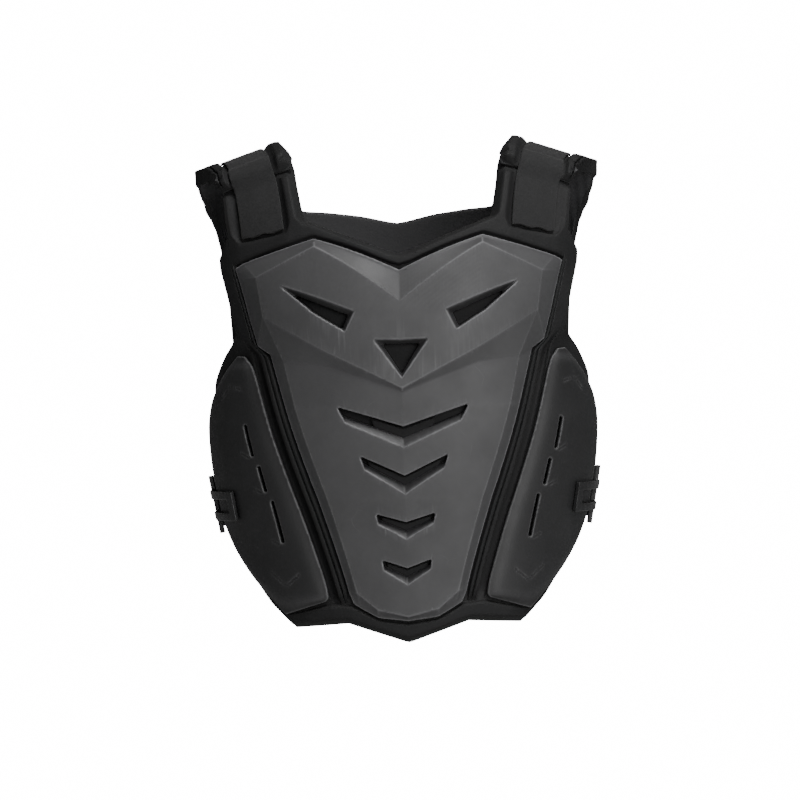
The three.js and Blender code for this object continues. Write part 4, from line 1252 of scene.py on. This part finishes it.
plate_material = moulded("moulded_plate", gloss=0.56, scratch=0.22, **PLATE_GREYS)
side_material = moulded("moulded_side_plate", gloss=0.52, scratch=0.15, **SIDE_GREYS)
buckle_material = moulded("moulded_buckle", gloss=0.3, scratch=0.2, **BUCKLE_GREYS)
foam_material = soft("moulded_foam", FOAM_CELLS, **FOAM_LOOK)
strap_material = soft("loop_strap", PILE, uv=True, **STRAP_LOOK)
elastic_material = soft("woven_elastic", RIBS, uv=True, **ELASTIC_LOOK)
strap_shader = strap_material.node_tree.nodes["Principled BSDF"]
strap_shader.inputs["Sheen Weight"].default_value = STRAP_SHEEN
foam_shader = foam_material.node_tree.nodes["Principled BSDF"]
foam_shader.inputs["Specular IOR Level"].default_value = FOAM_SPECULAR

chest_plate(plate_material)
back_plate(plate_material)
soft_pad("front_pad", "front_pad_foam", foam_material, fill_vents)
soft_pad("back_pad", "back_pad_foam", foam_material, fold_wings)
for name, side in (("left", -1), ("right", 1)):
    side_plate(side, f"side_plate_{name}_shell", f"side_plate_{name}", side_material)
    shoulder_strap(side, f"shoulder_strap_{name}_loop", f"shoulder_strap_{name}", strap_material)
    side_strap(side, f"side_strap_{name}_elastic", f"side_strap_{name}", elastic_material)
    side_buckle(side, f"side_buckle_{name}_hook", f"side_buckle_{name}", buckle_material)

# Studio
CAMERA_DISTANCE = 2.2
CAMERA_HEIGHT = -0.202
CAMERA_SIDE = -0.0021
CAMERA_ROLL = -1.6
CAMERA_LENS = 116.5
CAMERA_SENSOR = 36
PLANE_SIZE = 12
FLOOR_Z = -0.75
BACKDROP_Y = 3.5
BACKDROP_RISE = 5
BACKDROP_GLOW = 16
BACKDROP_GREY = (0.6, 0.6, 0.6, 1)
FRONT_LIGHT = {"place": (0.9, -2.5, 0.2), "target": (0, 0, -0.2), "size": 1.4, "power": 32}
UPPER_LIGHT = {"place": (0.6, -1.0, 1.9), "target": (0, 0, -0.15), "size": 0.9, "power": 46}
WORLD_WHITE = (1, 1, 1, 1)
WORLD_STRENGTH = 0.12

camera_data = bpy.data.cameras.new("camera")
camera_data.lens = CAMERA_LENS
camera_data.sensor_width = CAMERA_SENSOR
camera = bpy.data.objects.new("camera", camera_data)
bpy.context.scene.collection.objects.link(camera)
camera.location = (CAMERA_SIDE, -CAMERA_DISTANCE, CAMERA_HEIGHT)
camera.rotation_mode = "XYZ"
camera.matrix_world = (
    Matrix.Translation(camera.location)
    @ Matrix.Rotation(math.radians(90), 4, "X")
    @ Matrix.Rotation(math.radians(CAMERA_ROLL), 4, "Z")
)
bpy.context.scene.camera = camera


# The backdrop is plain white to the camera, and lights nothing
def studio_material():
    material = bpy.data.materials.new("studio_white")
    material.use_nodes = True
    nodes, links = material.node_tree.nodes, material.node_tree.links
    nodes.clear()
    output = nodes.new("ShaderNodeOutputMaterial")
    mix = nodes.new("ShaderNodeMixShader")
    path = nodes.new("ShaderNodeLightPath")
    diffuse = nodes.new("ShaderNodeBsdfDiffuse")
    diffuse.inputs["Color"].default_value = BACKDROP_GREY
    glow = nodes.new("ShaderNodeEmission")
    glow.inputs["Strength"].default_value = BACKDROP_GLOW
    links.new(path.outputs["Is Camera Ray"], mix.inputs["Fac"])
    links.new(diffuse.outputs["BSDF"], mix.inputs[1])
    links.new(glow.outputs["Emission"], mix.inputs[2])
    links.new(mix.outputs["Shader"], output.inputs["Surface"])
    return material


studio_white = studio_material()
for name, place, turn in (
    ("studio_floor", (0, 0, FLOOR_Z), (0, 0, 0)),
    ("studio_backdrop", (0, BACKDROP_Y, FLOOR_Z + BACKDROP_RISE), (math.radians(90), 0, 0)),
):
    bpy.ops.object.select_all(action="DESELECT")
    bpy.ops.mesh.primitive_plane_add(size=PLANE_SIZE, location=place, rotation=turn)
    bpy.context.object.name = name
    bpy.context.object.data.materials.append(studio_white)


def area_light(name, place, target, size, power):
    data = bpy.data.lights.new(name, "AREA")
    data.size = size
    data.energy = power
    light = bpy.data.objects.new(name, data)
    bpy.context.scene.collection.objects.link(light)
    light.location = place
    light.rotation_euler = (Vector(target) - Vector(place)).to_track_quat("-Z", "Y").to_euler()


area_light("front", **FRONT_LIGHT)
area_light("upper", **UPPER_LIGHT)
world = bpy.data.worlds.new("studio")
world.use_nodes = True
world_shader = world.node_tree.nodes["Background"]
world_shader.inputs["Color"].default_value = WORLD_WHITE
world_shader.inputs["Strength"].default_value = WORLD_STRENGTH
bpy.context.scene.world = world
